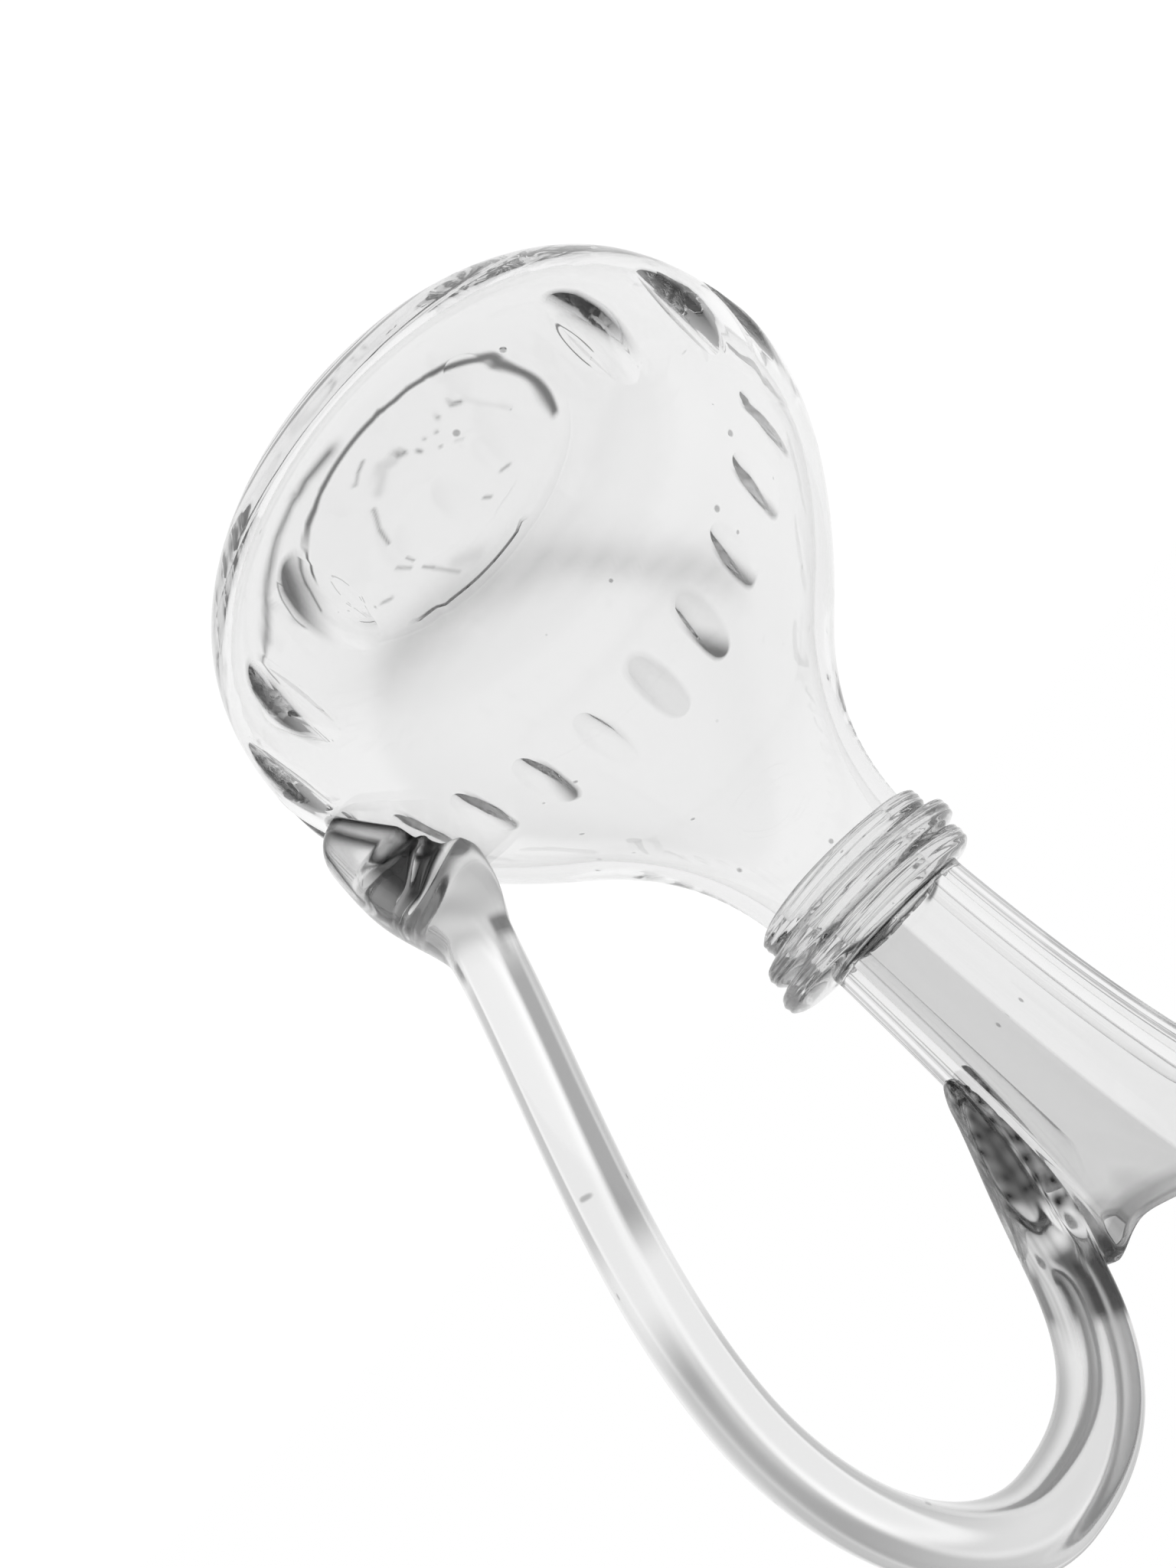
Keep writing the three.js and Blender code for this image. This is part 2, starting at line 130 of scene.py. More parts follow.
# Painted shade along the groove round the foot, and the scar under the base, with turns in degrees
NEAR_ARC = (188, 193, 328, 345)  # the painted shade round the foot begins and ends here
FAR_ARC = (62, 72, 126, 138)
ARC_WIDTHS = (1.3, 0.7)  # of the near and the far arc, in groove widths
WIDE_MIDDLE, WIDE_SPREAD, WIDER = 205, 14, 1.4  # where the near arc is wider inwards, and how much
GROOVE_SHADE_DARK = 0.99
SCAR_WAVER = ((0.06, 2, 1), (0.03, 5, 0))  # height, count and phase of each wave, as in all such rows
SCAR_RINGS = (  # radius in radii of the scar, width, mean height and waves of each ring
    (1, 0.8 * MM, 0.3, ((0.6, 3, 0.5), (0.5, 7, 2))),
    (0.7, 1.2 * MM, 0.1, ((0.7, 2, 4), (0.5, 5, 1))),
)

# Painted shade in a soft band across the shoulder: turns in degrees, and heights in millimetres at those
# turns
SHOULDER_SHADE_PATH = ((259, 276, 289, 303, 316), (84, 76, 66, 60, 57))
SHOULDER_SHADE_SPAN = (252, 264, 312, 328)
SHOULDER_SHADE_WIDTH = 3.5 * MM
SHOULDER_SHADE_DARK = 0.4

# Painted shade on the neck, in panels from the handle across it
SHADED_PANEL_SPAN = (-1.52, -1.48, -0.52, -0.48)
SHADED_PANEL_START = 0.5  # in end heights
SHADED_PANEL_DARK = 0.42
END_HEIGHT = 4 * MM  # of the panels' ends in painted shade, over the rings; unit of the next three
END_ARC = 0.6
END_SOFT = 0.12
END_START = (-0.05, 0.0)
END_FILL = 0.6  # of the arc
END_WIDTH = 0.48
END_DARK = 0.95
HOOK_SPAN = (-0.1, 0.05)
JOINT_SPAN = (-0.5 * MM, -0.2 * MM, 0.3 * MM, 0.6 * MM)  # painted shade at the joint, over the rings
LIP_SPAN = (-3.5 * MM, -2 * MM)  # painted shade at the lip's edge, over the lip
LIP_DARK, LIP_DARKER, LIP_SPREAD = 0.35, 0.45, 0.8
# Painted shade where the lip is drawn out to the handle
DRAWN_DARK = 0.55

# Waves along the rings
RING_UNEVEN = ((1, 3, 1), (0.6, 5, 2.3), (0.4, 11, 1.7))  # with phases in seeds
RING_WANDER = ((1, 2, 0.4), (0.5, 3, 0))
RING_LINES = 11  # drawn lines, in radians across half a thread

# Shape of the handle
HANDLE_SEAT = 0.2 * MM  # how far the pads have sunk into the vessel
TIP_ROUND = 5 * MM  # length in which a pad's tip rounds off
STRAP_BLEND = 6 * MM  # length in which the strap's section sets in, to either side
FOLDS = ((0.385, -0.04, 0), (0.525, 0.105, 0.055), (0.655, 0.085, 0))  # quadratics in the reach
VALLEY_STEPS = (0.03, 0.05)  # before and after a fold, in shares of the pad's length
VALLEY_END = (0.5, 0.9)
CREASE_HEIGHT, CREASE_WIDTH = 0.45, 0.022
TOOL_MARKS = (2.5 * MM, 4.6 * MM, 11 * MM)  # from the upper pad's tip
TOOL_WIDTH = 0.6 * MM
TOOL_SPAN = (-0.2, 0.4)
TOOL_SWAY = ((0.15, 2, 1),)
SEAM_MIDDLE, SEAM_WIDTH = 0.15, 0.25
SEAM_START = (4 * MM, 10 * MM)  # from the strap
SEAM_END = (1 * MM, 6 * MM)  # from the tip

# Tones of the handle, mostly painted light and shade, across it in reaches of -1 inside to 1 outside
PAD_BLEND = 4 * MM
LOBE_TONES = (0.9, 0.62)  # painted light and shade towards the lower pad's tip and towards the strap
STRAND_TONE, STRAND_COUNT, STRAND_LEAN = 0.1, 26, 5
SHADOW_STEPS = (0.01, 0.03)  # before and after a fold, in shares of the pad's length
SHADOW_TONES = (0.01, 0.1)  # of the valley at the -Y and the +Y side
SHADOW_SIDE = (-0.3, 0.3)
SHADOW_END = (0.6, 0.95)
FOLD_HIGHLIGHT_WIDTH, FOLD_HIGHLIGHT = 0.012, 0.8
# A grey band of painted shade along the strap, a painted highlight on its ridge and painted shade at its
# landing
SHADE_BAND_INSIDE = (-0.95, -0.75, -0.14, -0.06)  # the last two from the ridge
SHADE_BAND_INSIDE_LENGTH = (0.0, 0.05, 0.3, 0.36)  # in shares of the strap's length
SHADE_BAND_OUTSIDE = (0.02, 0.2, 0.7, 0.95)  # the first two from the ridge
SHADE_BAND_OUTSIDE_LENGTH = (0.38, 0.46, 0.9, 1)
SHADE_BAND_THINS, SHADE_BAND_THINNER = (0.6, 0.8), 0.6
SHADE_BAND_DARK = 0.55
RIDGE_HIGHLIGHT_WIDTH = 0.09
RIDGE_HIGHLIGHT = (0.22, 1)  # on the strap and at its landing
LANDING_LENGTH = (0.957, 0.972, 1.01, 1.03)
LANDING_SPAN = (-0.9, -0.75, 0.7, 0.85)
LANDING_TONE = 0.03
# Painted shade: streaks inside the strap where it lands, the upper pad dark along the neck and mottled with
# painted light and shade, the pads' rims where they meet the vessel, and a patch over the lower pad
STREAK_LENGTH = (-13 * MM, -5 * MM)  # from the strap's end
STREAK_SPAN = (-0.6, -0.3)
STREAK_TONE = 0.55
STREAKS = ((0.12, 13, 0), (0.1, 31, 1))
TONGUE_STARTS = (10 * MM, 6 * MM)  # past the strap's end, of the upper pad's tone inside and outside
TONGUE_SPLIT = (0.1, 0.4)
TONGUE_TONE = 0.05
MOTTLE_TONE, MOTTLE_DEPTH = 0.45, 0.5
MOTTLE_LENGTHS = (0.9 * MM, 2 * MM)
MOTTLE_COUNT = 9
MOTTLE_SWAY = ((3, 2, 0),)
MOTTLE_OUTSIDE = (-0.1, 0.3)
MOTTLE_INSIDE, MOTTLE_INSIDE_SHARE = (-0.8, -0.5), 0.8
RIM_WIDTHS = (2.0 * MM, 0.7 * MM)  # of the painted shade along the rim where a pad meets the vessel, at the lower pad's tip and beyond its folds
RIM_LENGTH = (0.35, 0.6)
RIM_TONGUE = 0.45
SHADE_PATCH_LENGTH = (-2 * MM, 0, 2 * MM, 5 * MM)  # from the lower pad's end
SHADE_PATCH_SPAN = (-0.95, -0.85, -0.5, -0.35)
SHADE_PATCH_DARK = 0.9

# Finish of each piece's glass: the share of mirrored light that it keeps, how much darker it is where it
# turns away, which is painted shade, where in that turn this starts and ends, its roughness and the scale
# of its ripples
FINISHES = {
    "vessel_glass": {"mirror": 0.7, "edge": 0.4, "away": (0.7, 1.0), "haze": 0.0, "drawn": (1, 1, 0.4)},
    "ring_glass": {"mirror": 0.8, "edge": 0.38, "away": (0.4, 0.9), "haze": 0.03, "drawn": (1, 1, 3)},
    "handle_glass": {"mirror": 0.6, "edge": 0.3, "away": (0.25, 1.0), "haze": 0.1, "drawn": (1, 3, 0.4)},
}
RIPPLE_SCALE = 60.0  # per metre, as the next two
SMEAR_SCALE = 35.0
SPECK_SCALE = 70.0
SPECK_SIZE = (0.03, 0.06)  # in cells
SPECKLESS = 0.5  # share of the cells without a speck
SPECK_DENT = 0.5  # in ripples
SMEAR_SPAN = (0.45, 0.75)
SMEAR_HAZE = 0.02

# Light of the stage
FLOOR_DROP = 0.2 * MM  # below the table's height
FLOOR_THICKNESS = 2 * MM
FLOOR_CROWD = 1.5  # how much closer the floor's rings lie towards its middle: 1 is even
FLOOR_MIDDLE = 0.02  # innermost ring, before that crowding
FLOOR_GLOW = 1.1
FLOOR_SHOWN = 0.9  # share of the glow in what is seen, beside the lit paper
SOFT_LIGHT = 0.8
CEILING_SPAN, CEILING_DIM = (0.3, 0.8), 0.5
ROOM_POLE = (0.29, 0, 0.957)  # the room's dim walls lie round this direction
WALL_SPAN, WALL_DIM = (0.48, 0.62), 0.9
WINDOW_SPAN, WINDOW_LIGHT = (0.72, 0.9), 0.5
BOUNCE_DIM = ((1.5, 0.45), (2.5, 0.2), (4.5, -0.5))  # mirrored steps that are passed, and how much each dims
BOUNCES = {"max_bounces": 64, "glossy_bounces": 48, "transmission_bounces": 32}
NEAREST_SEEN = 10 * MM

# Dark strokes under the base and on the heel: x and y of both ends, half width in millimetres, and darkness
BASE_MARKS = (
    (17.0, -27.0, 18.7, -24.8, 0.6, 0.88),
    (18.7, -24.8, 20.1, -21.5, 0.6, 0.73),
    (7.1, -23.3, 8.9, -23.5, 0.6, 0.88),
    (8.9, -23.5, 13.2, -22.5, 0.9, 0.39),
    (13.2, -22.5, 16.3, -18.0, 1.4, 0.36),
    (18.8, -14.4, 18.5, -7.8, 0.6, 0.78),
    (18.5, -7.8, 17.0, -1.5, 0.6, 0.83),
    (13.0, 7.6, 11.2, 10.4, 0.5, 0.78),
    (16.1, 9.1, 12.5, 12.6, 0.7, 0.66),
    (8.9, 15.0, 5.5, 18.8, 0.6, 0.78),
    (5.6, 19.0, -1.6, 27.3, 0.8, 0.53),
    (-1.2, 22.5, -7.5, 25.5, 3.0, 0.27),
    (-6.5, -28.3, -8.5, -28.1, 0.6, 0.94),
    (-9.4, -28.4, -22.2, -17.7, 0.8, 0.17),
    (-2.1, -27.4, -2.7, -27.3, 0.5, 0.73),
    (-0.9, -24.6, -1.3, -24.5, 0.5, 0.73),
    (2.2, -24.5, 2.0, -24.5, 0.5, 0.66),
    (4.4, -22.4, 3.7, -21.8, 0.6, 0.88),
    (-1.3, -19.9, -1.7, -19.8, 0.5, 0.78),
    (-5.8, -18.6, -7.7, -17.7, 0.6, 0.32),
    (-17.9, 0.9, -20.0, 0.2, 0.8, 0.73),
    (-12.1, 6.6, -14.4, 8.5, 0.6, 0.78),
    (21.3, 17.8, 19.7, 18.3, 0.8, 0.73),
    (24.8, -36.7, 34.5, -33.3, 2.6, 1.00),
    (34.5, -33.3, 41.8, -25.1, 2.0, 0.99),
    (41.8, -25.1, 47.1, -15.3, 1.8, 0.97),
    (47.1, -15.3, 54.1, 2.8, 1.8, 0.96),
)


def length(name, description, millimetres):
    """A size, given in millimetres and kept in metres."""
    return FloatProperty(
        name=name, description=description, default=millimetres * MM, min=0.0,
        unit="LENGTH", subtype="DISTANCE", precision=5,
    )


def share(name, description, default):
    """A part of a whole, from 0 to 1."""
    return FloatProperty(
        name=name, description=description, default=default, min=0.0, max=1.0, subtype="FACTOR",
    )


def slope(name, description, degrees):
    """An angle, given in degrees and kept in radians."""
    return FloatProperty(
        name=name, description=description, default=math.radians(degrees), unit="ROTATION", subtype="ANGLE",
    )


def amount(name, description, default):
    """A plain number."""
    return FloatProperty(name=name, description=description, default=default)


def colour(name, description, default):
    """A linear colour."""
    return FloatVectorProperty(
        name=name, description=description, default=default, size=3, min=0, max=1, subtype="COLOR",
    )


class CarafeBulb(bpy.types.PropertyGroup):
    """Sizes of the blown bulb."""

    base_radius: length("Base radius", "Flat ring that rests on the table", 39)
    belly_radius: length("Belly radius", "Widest point", (VESSEL_HIGH.y - VESSEL_LOW.y) / 2 / MM)
    belly_z: length("Belly height", "Height of the widest point", 37)
    shoulder_radius: length("Shoulder radius", "Where the bulging shoulder turns hollow", 40)
    shoulder_z: length("Shoulder height", "Height of that turn", 89)
    shoulder_fall: slope("Shoulder fall", "Slope of the glass there, below level", 42)
    scar_radius: length("Scar radius", "Rough ring left under the base by the blowing iron", 22)
    scar_height: length("Scar height", "Depth of the scar's ridges", 0.06)
    groove: length("Groove", "Depth of the line round the foot", 0.15)
    groove_width: length("Groove width", "Half width of that line", 0.9)
    groove_shift: length("Groove shift", "How far that line is off the axis", 2)
    groove_turn: slope("Groove turn", "The side that it is shifted to", 310)
    wall: length("Wall", "Thickness of the bulb's glass", 3.8)
    base_thickness: length("Base thickness", "From the table to the inside", 3.4)


class CarafeOvals(bpy.types.PropertyGroup):
    """The band of ovals ground into the belly."""

    count: IntProperty(name="Count", description="Ovals round the belly", default=20, min=1)
    middle_z: length("Middle", "Height of the ovals' middle", 43)
    width: length("Width", "Width of an oval", 11)
    height: length("Height", "Height of an oval", 22)
    depth: length("Depth", "Depth of an oval at its middle", 2.1)
    band: length("Band", "Height of the belt of glass that takes up the ovals", 38)
    stray: length("Stray", "How much higher the ovals run on the side away from the camera", 4.5)
    # shade and shade_turn set the painted shade on one edge of the ovals
    shade: share("Shade", "How dark the ovals' shaded edges are", 0.97)
    shade_turn: slope("Shade turn", "Turn at which the ovals have no shaded edge", -66)


class CarafeNeck(bpy.types.PropertyGroup):
    """Sizes of the neck and the poured lip."""

    radius: length("Radius", "Just above the rings", 16.6)
    swell: length("Swell", "How much wider the neck is below the rings", 1.8)
    lip_radius: length("Lip radius", "Before the lip is drawn forward", 22)
    rise: length("Rise", "From the rings up to the lip beside the handle", 60.3)
    lip_rise: length("Lip rise", "How much higher the lip is at the spout", 29)
    spout_reach: length("Spout reach", "How far the spout is drawn forward", 9)
    spout_pinch: share("Spout pinch", "How much the spout narrows", 0.22)
    lean: share("Lean", "Share of the flare that goes forward", 0.8)
    wall: length("Wall", "Thickness of the neck's glass", 3.4)
    lip_wall: length("Lip wall", "Thickness of the lip", 3)
    panels: IntProperty(name="Panels", description="Flat panels ground on the neck", default=8, min=3)
    panel_fade: length("Panel fade", "Height in which a panel runs out at the rings", 0.7)
    panel_top: length("Panel top", "Height in which a panel fades away under the lip", 12)
    panel_edge: length("Panel edge", "Softness of the edges between the panels", 0.06)
    back_pull: length("Back pull", "How far the back of the lip is drawn out on to the handle", 4.5)
    back_lift: share("Back lift", "How much that pull also lifts the lip", 0.7)
    back_width: slope("Back width", "How far the full pull reaches to either side of the handle", 13)
    back_spread: slope("Back spread", "How far it takes from there to run out", 11)


class CarafeRings(bpy.types.PropertyGroup):
    """Unevenness of the threads laid round the neck. Their sizes are the packed model's."""

    lap_spread: slope("Lap spread", "How far the thicker lap reaches to either side of the handle", 75)
    seat_depth: length("Seat depth", "How far a thread has sunk into the neck", 0.15)
    wave: length("Wave", "How far a thread wanders up and down", 0.22)
    swell: share("Swell", "How much a thread's depth varies", 0.07)
    fullness: amount("Fullness", "Power of a thread's rounded section: 2 is an ellipse", 3.2)
    streak: length("Streak", "Depth of the lines drawn along a thread", 0.1)


class CarafeHandle(bpy.types.PropertyGroup):
    """Sizes of the looped strap handle and the pads that it lands on."""

    width: length("Width", "Width of the strap", (STRAP_HIGH.y - STRAP_LOW.y) / MM)
    thick_foot: length("Thickness at the foot", "Of the strap, at the bulb", 13.5)
    thick_end: length("Thickness at the end", "Of the strap, at the neck", 9.6)
    loop_drop: length("Loop drop", "From the back of the lip down to the widest point of the loop", 22)
    foot_z: length("Foot height", "Middle of the lower pad on the bulb", 70)
    foot_rise: length("Foot rise", "From there up to the strap's foot", 21.6)
    foot_fall: length("Foot fall", "And down to the pad's tip", 18)
    foot_width: length("Foot width", "Width of the lower pad", 24)
    foot_thick: length("Foot thickness", "Thickness of the lower pad", 24)
    foot_tip_width: length("Foot tip width", "Width of the lower pad's tip", 14)
    foot_tip_thick: length("Foot tip thickness", "Thickness of the lower pad's tip", 13)
    foot_standoff: length("Foot standoff", "From the bulb out to the strap's foot", 4.8)
    foot_lean: slope("Foot lean", "Slope of the strap at its foot, above level", 77)
    landing_out: length("Landing out", "Strap's end, out from the back of the neck", 11.9)
    landing_up: length("Landing up", "Strap's end, above the back of the lip", 2)
    landing_fall: slope("Landing fall", "Slope of the strap at its end, below level", 66)
    tongue_length: length("Tongue length", "Upper pad, down the neck from the lip", 34)
    tongue_thick: length("Tongue thickness", "Thickness of the upper pad", 11.5)
    tongue_tip_width: length("Tongue tip width", "Width of the upper pad's tip", 8)
    tongue_tip_thick: length("Tongue tip thickness", "Thickness of the upper pad's tip", 3)
    flat: share("Flat", "Width of the strap's outer and inner faces, as a share of its width", 0.8)
    ridge_foot: amount(
        "Ridge at the foot", "Place of the ridge along the strap's sides: -1 is inside, 1 outside", -0.2,
    )
    ridge_end: amount("Ridge at the end", "The same at the neck", 0.1)
    strap_crispness: amount("Strap crispness", "How crisp the strap's corners are", 4.8)
    pad_crispness: amount("Pad crispness", "How crisp the pads' corners are", 4.5)
    crimp: length("Crimp", "Depth of the valley pinched across the lower pad", 4.0)
    tool_mark: length("Tool mark", "Depth of the marks pressed across the upper pad", 0.5)
    seam: length("Seam", "Depth of the seam along the sides of the upper pad", 1.0)


class CarafeGlass(bpy.types.PropertyGroup):
    """Finish of the glass."""

    clear: colour("Clear glass", "What one wall of the vessel lets through", (0.91, 0.91, 0.91))
    thick: colour("Thick glass", "What the rings and the handle let through", (0.82, 0.82, 0.82))
    # Colour of the darkest painted shade, in the folds of the handle and elsewhere
    shade_tint: colour("Deep glass", "What the darkest folds let through", (0.001, 0.001, 0.001))
    speck: colour("Speck", "Ash and grit caught in the glass", (0.25, 0.25, 0.25))
    bend: amount("Index of refraction", "How strongly the glass bends light", 1.5)
    ripple: length("Ripple", "Depth of the ripples left by blowing", 0.05)


class CarafeStage(bpy.types.PropertyGroup):
    """Floor, light and camera."""

    floor_radius: length("Floor radius", "Size of the round floor", 1200)
    floor_colour: colour("Floor colour", "Pale floor", (0.9, 0.9, 0.9))
    camera_place: FloatVectorProperty(
        name="Camera place", description="Where the camera stands", size=3,
        default=(87.43 * MM, -214.68 * MM, 159.4 * MM), subtype="TRANSLATION", unit="LENGTH",
    )
    camera_yaw: slope("Camera yaw", "Turn of the view from +Y towards +X", -18.41)
    camera_pitch: slope("Camera pitch", "Tilt of the view above level", -19.35)
    camera_roll: slope("Camera roll", "Turn of the picture about the view", 225.64)
    lens: amount("Lens", "Focal length in millimetres on a 36 mm long side", 26.63)


GROUPS = {
    "carafe_bulb": CarafeBulb,
    "carafe_ovals": CarafeOvals,
    "carafe_neck": CarafeNeck,
    "carafe_rings": CarafeRings,
    "carafe_handle": CarafeHandle,
    "carafe_glass": CarafeGlass,
    "carafe_stage": CarafeStage,
}


# Curves

def cubic(controls, t):
    """Cubic Bezier curve: the Bernstein sum of four control points at the shares t."""
    a, b, c, d = (np.asarray(p, float) for p in controls)
    t = np.asarray(t, float)[..., None]
    s = 1 - t
    return s**3 * a + 3 * s**2 * t * b + 3 * s * t**2 * c + t**3 * d


def chain(curves, counts):
    """Points of a chain of cubic curves, evenly spaced in each one's share, with each joint once."""
    parts = [cubic(curve, np.linspace(0, 1, n + 1)[1:]) for curve, n in zip(curves, counts)]
    return np.concatenate([cubic(curves[0], [0.0]), *parts])


def ease(low, high, value):
    """Smooth step: 0 below low, 1 above high and 3t^2 - 2t^3 between."""
    t = np.clip((value - low) / (high - low), 0, 1)
    return t * t * (3 - 2 * t)


def lerp(a, b, t):
    """Straight line from a at 0 to b at 1."""
    return a + (b - a) * t


def span(stops, value):
    """Smooth step up from the first stop to the second, and down from the third to the fourth."""
    low, full, end, gone = stops
    return ease(low, full, value) * (1 - ease(end, gone, value))


def bell(offset, width, power=2):
    """Bell curve: the exponential of minus a power of the offset over the width."""
    return np.exp(-np.abs(offset / width) ** power)


def waves(turn, rows):
    """Sum of sines of the turn, each with its height, count and phase."""
    return sum(height * np.sin(count * turn + phase) for height, count, phase in rows)


def wrapped(turn):
    """The same turn between minus and plus half a circle."""
    return (turn + np.pi) % (2 * np.pi) - np.pi


# Vessel

def bulb_curves(bulb, neck, margin, neck_margin):
    """Outline of the bulb as three cubic curves: heel to belly, belly to shoulder and shoulder to neck.

    The margins move the outline outwards, square to the glass.
    """
    fall = bulb.shoulder_fall
    upward = np.array([-math.cos(fall), math.sin(fall)])
    base = np.array([bulb.base_radius, -margin])
    belly = np.array([bulb.belly_radius + margin, bulb.belly_z])
    turned = np.array([math.sin(fall), math.cos(fall)])
    shoulder = np.array([bulb.shoulder_radius, bulb.shoulder_z]) + margin * turned
    foot = np.array([neck.radius + neck.swell + neck_margin, NECK_FOOT_Z])
    bulge = bulb.shoulder_z - bulb.belly_z
    hollow = NECK_FOOT_Z - bulb.shoulder_z
    drop = BULB_ARMS["neck"] * hollow
    taper = neck.swell / (RINGS_TOP_Z - NECK_FOOT_Z)
    heel_arm = (lerp(bulb.base_radius, belly[0], BULB_ARMS["heel"]), base[1])
    belly_arm = (belly[0], bulb.belly_z * (1 - BULB_ARMS["belly"]))
    flank_arm = (belly[0], bulb.belly_z + BULB_ARMS["flank"] * bulge)
    upper_arm = shoulder - BULB_ARMS["upper"] * bulge * upward
    hollow_arm = shoulder + BULB_ARMS["hollow"] * hollow * upward
    neck_arm = (foot[0] + taper * drop, NECK_FOOT_Z - drop)
    return [
        (base, heel_arm, belly_arm, belly),
        (belly, flank_arm, upper_arm, shoulder),
        (shoulder, hollow_arm, neck_arm, foot),
    ]


def flare_curve(neck, foot_radius, lip_radius):
    """Outline of the flaring neck above the rings as one cubic curve, up to where the lip turns over."""
    flare = lip_radius - foot_radius
    return (
        (foot_radius, RINGS_TOP_Z),
        (foot_radius + FLARE_ARMS["low_out"] * flare, RINGS_TOP_Z + FLARE_ARMS["low_up"] * neck.rise),
        (foot_radius + FLARE_ARMS["high_out"] * flare, RINGS_TOP_Z + FLARE_ARMS["high_up"] * neck.rise),
        (lip_radius, RINGS_TOP_Z + neck.rise),
    )


class Skin:
    """Outer skin of the vessel, sampled so that its radius can be looked up at any height."""

    def __init__(self, bulb, neck):
        self.neck = neck
        self.lip_z = RINGS_TOP_Z + neck.rise
        curves = bulb_curves(bulb, neck, 0.0, 0.0)
        body = chain(curves, [OUTLINE_SAMPLES] * len(curves))
        flare = cubic(flare_curve(neck, neck.radius, neck.lip_radius), np.linspace(0, 1, OUTLINE_SAMPLES))
        self.radii, self.heights = np.concatenate([body, flare]).T

    def radius(self, z):
        """Radius of the round outline at a height."""
        return np.interp(z, self.heights, self.radii)

    def normal(self, z):
        """Outward unit normal of the outline at a height, as its parts along the radius and up."""
        grow = (self.radius(z + SLOPE_STEP) - self.radius(z - SLOPE_STEP)) / (2 * SLOPE_STEP)
        size = np.hypot(1, grow)
        return 1 / size, -grow / size

    def lean(self, z):
        """How far the neck leans forward at a height: a share of how much the flare has opened."""
        flare = self.radius(np.clip(z, RINGS_TOP_Z, self.lip_z)) - self.neck.radius
        return self.neck.lean * flare

    def ground(self, radius, turn, z):
        """Radius of the neck with its flat panels ground on.

        A panel is a plane square to its middle: its radius is the panel's distance over the cosine of the
        turn from that middle. Near the rings the plane runs out of the glass as a parabola, and under the
        lip it fades away by a smooth step. The edges are rounded by the soft minimum, the logarithm of a
        sum of exponentials.
        """
        step = 2 * np.pi / self.neck.panels
        local = turn - step * np.round(turn / step)
        fade = self.neck.panel_fade
        runout = np.clip((RINGS_TOP_Z + fade - z) / fade, 0, None) ** 2
        sunk = radius * (1 - math.cos(step / 2))
        flat = (radius - sunk + PANEL_RUNOUT * sunk * runout) / np.cos(local)
        top = self.lip_z - self.neck.lip_wall
        there = 1 - ease(top - self.neck.panel_top, top, z)
        soft = self.neck.panel_edge
        cut = radius - soft * np.logaddexp(0, (radius - flat) / soft)
        return np.where(z > RINGS_TOP_Z, lerp(radius, cut, there), radius)

    def pull(self, turn, z):
        """How far the back of the lip is drawn out: a power of the share of the neck's height.

        It is full at the handle, and to either side of that a bell of the turn.
        """
        neck = self.neck
        high = np.clip((z - RINGS_TOP_Z) / neck.rise, 0, 1)
        beside = np.clip(np.abs(turn) - neck.back_width, 0, None)
        return neck.back_pull * high**PULL_POWER * bell(beside, neck.back_spread)


def pour(skin, x, y, z):
    """Draws the round neck into its poured form: it leans forward, its lip rises and its spout narrows.

    With h the share of the neck's height and f the share of the turn to the front, the rise and the spout
    are products of powers of h and f. The back of the lip is pulled out and up.
    """
    neck = skin.neck
    high = np.clip((z - RINGS_TOP_Z) / neck.rise, 0, 1)
    turn = np.arctan2(y, x)
    front = (1 - np.cos(turn)) / 2
    spout = (high * front) ** SPOUT_POWER
    pull = skin.pull(turn, z)
    return (
        x - skin.lean(z) - neck.spout_reach * spout + pull,
        y * (1 - neck.spout_pinch * spout),
        z + neck.lip_rise * high**RISE_POWER * front**SLOPE_POWER + neck.back_lift * pull,
    )


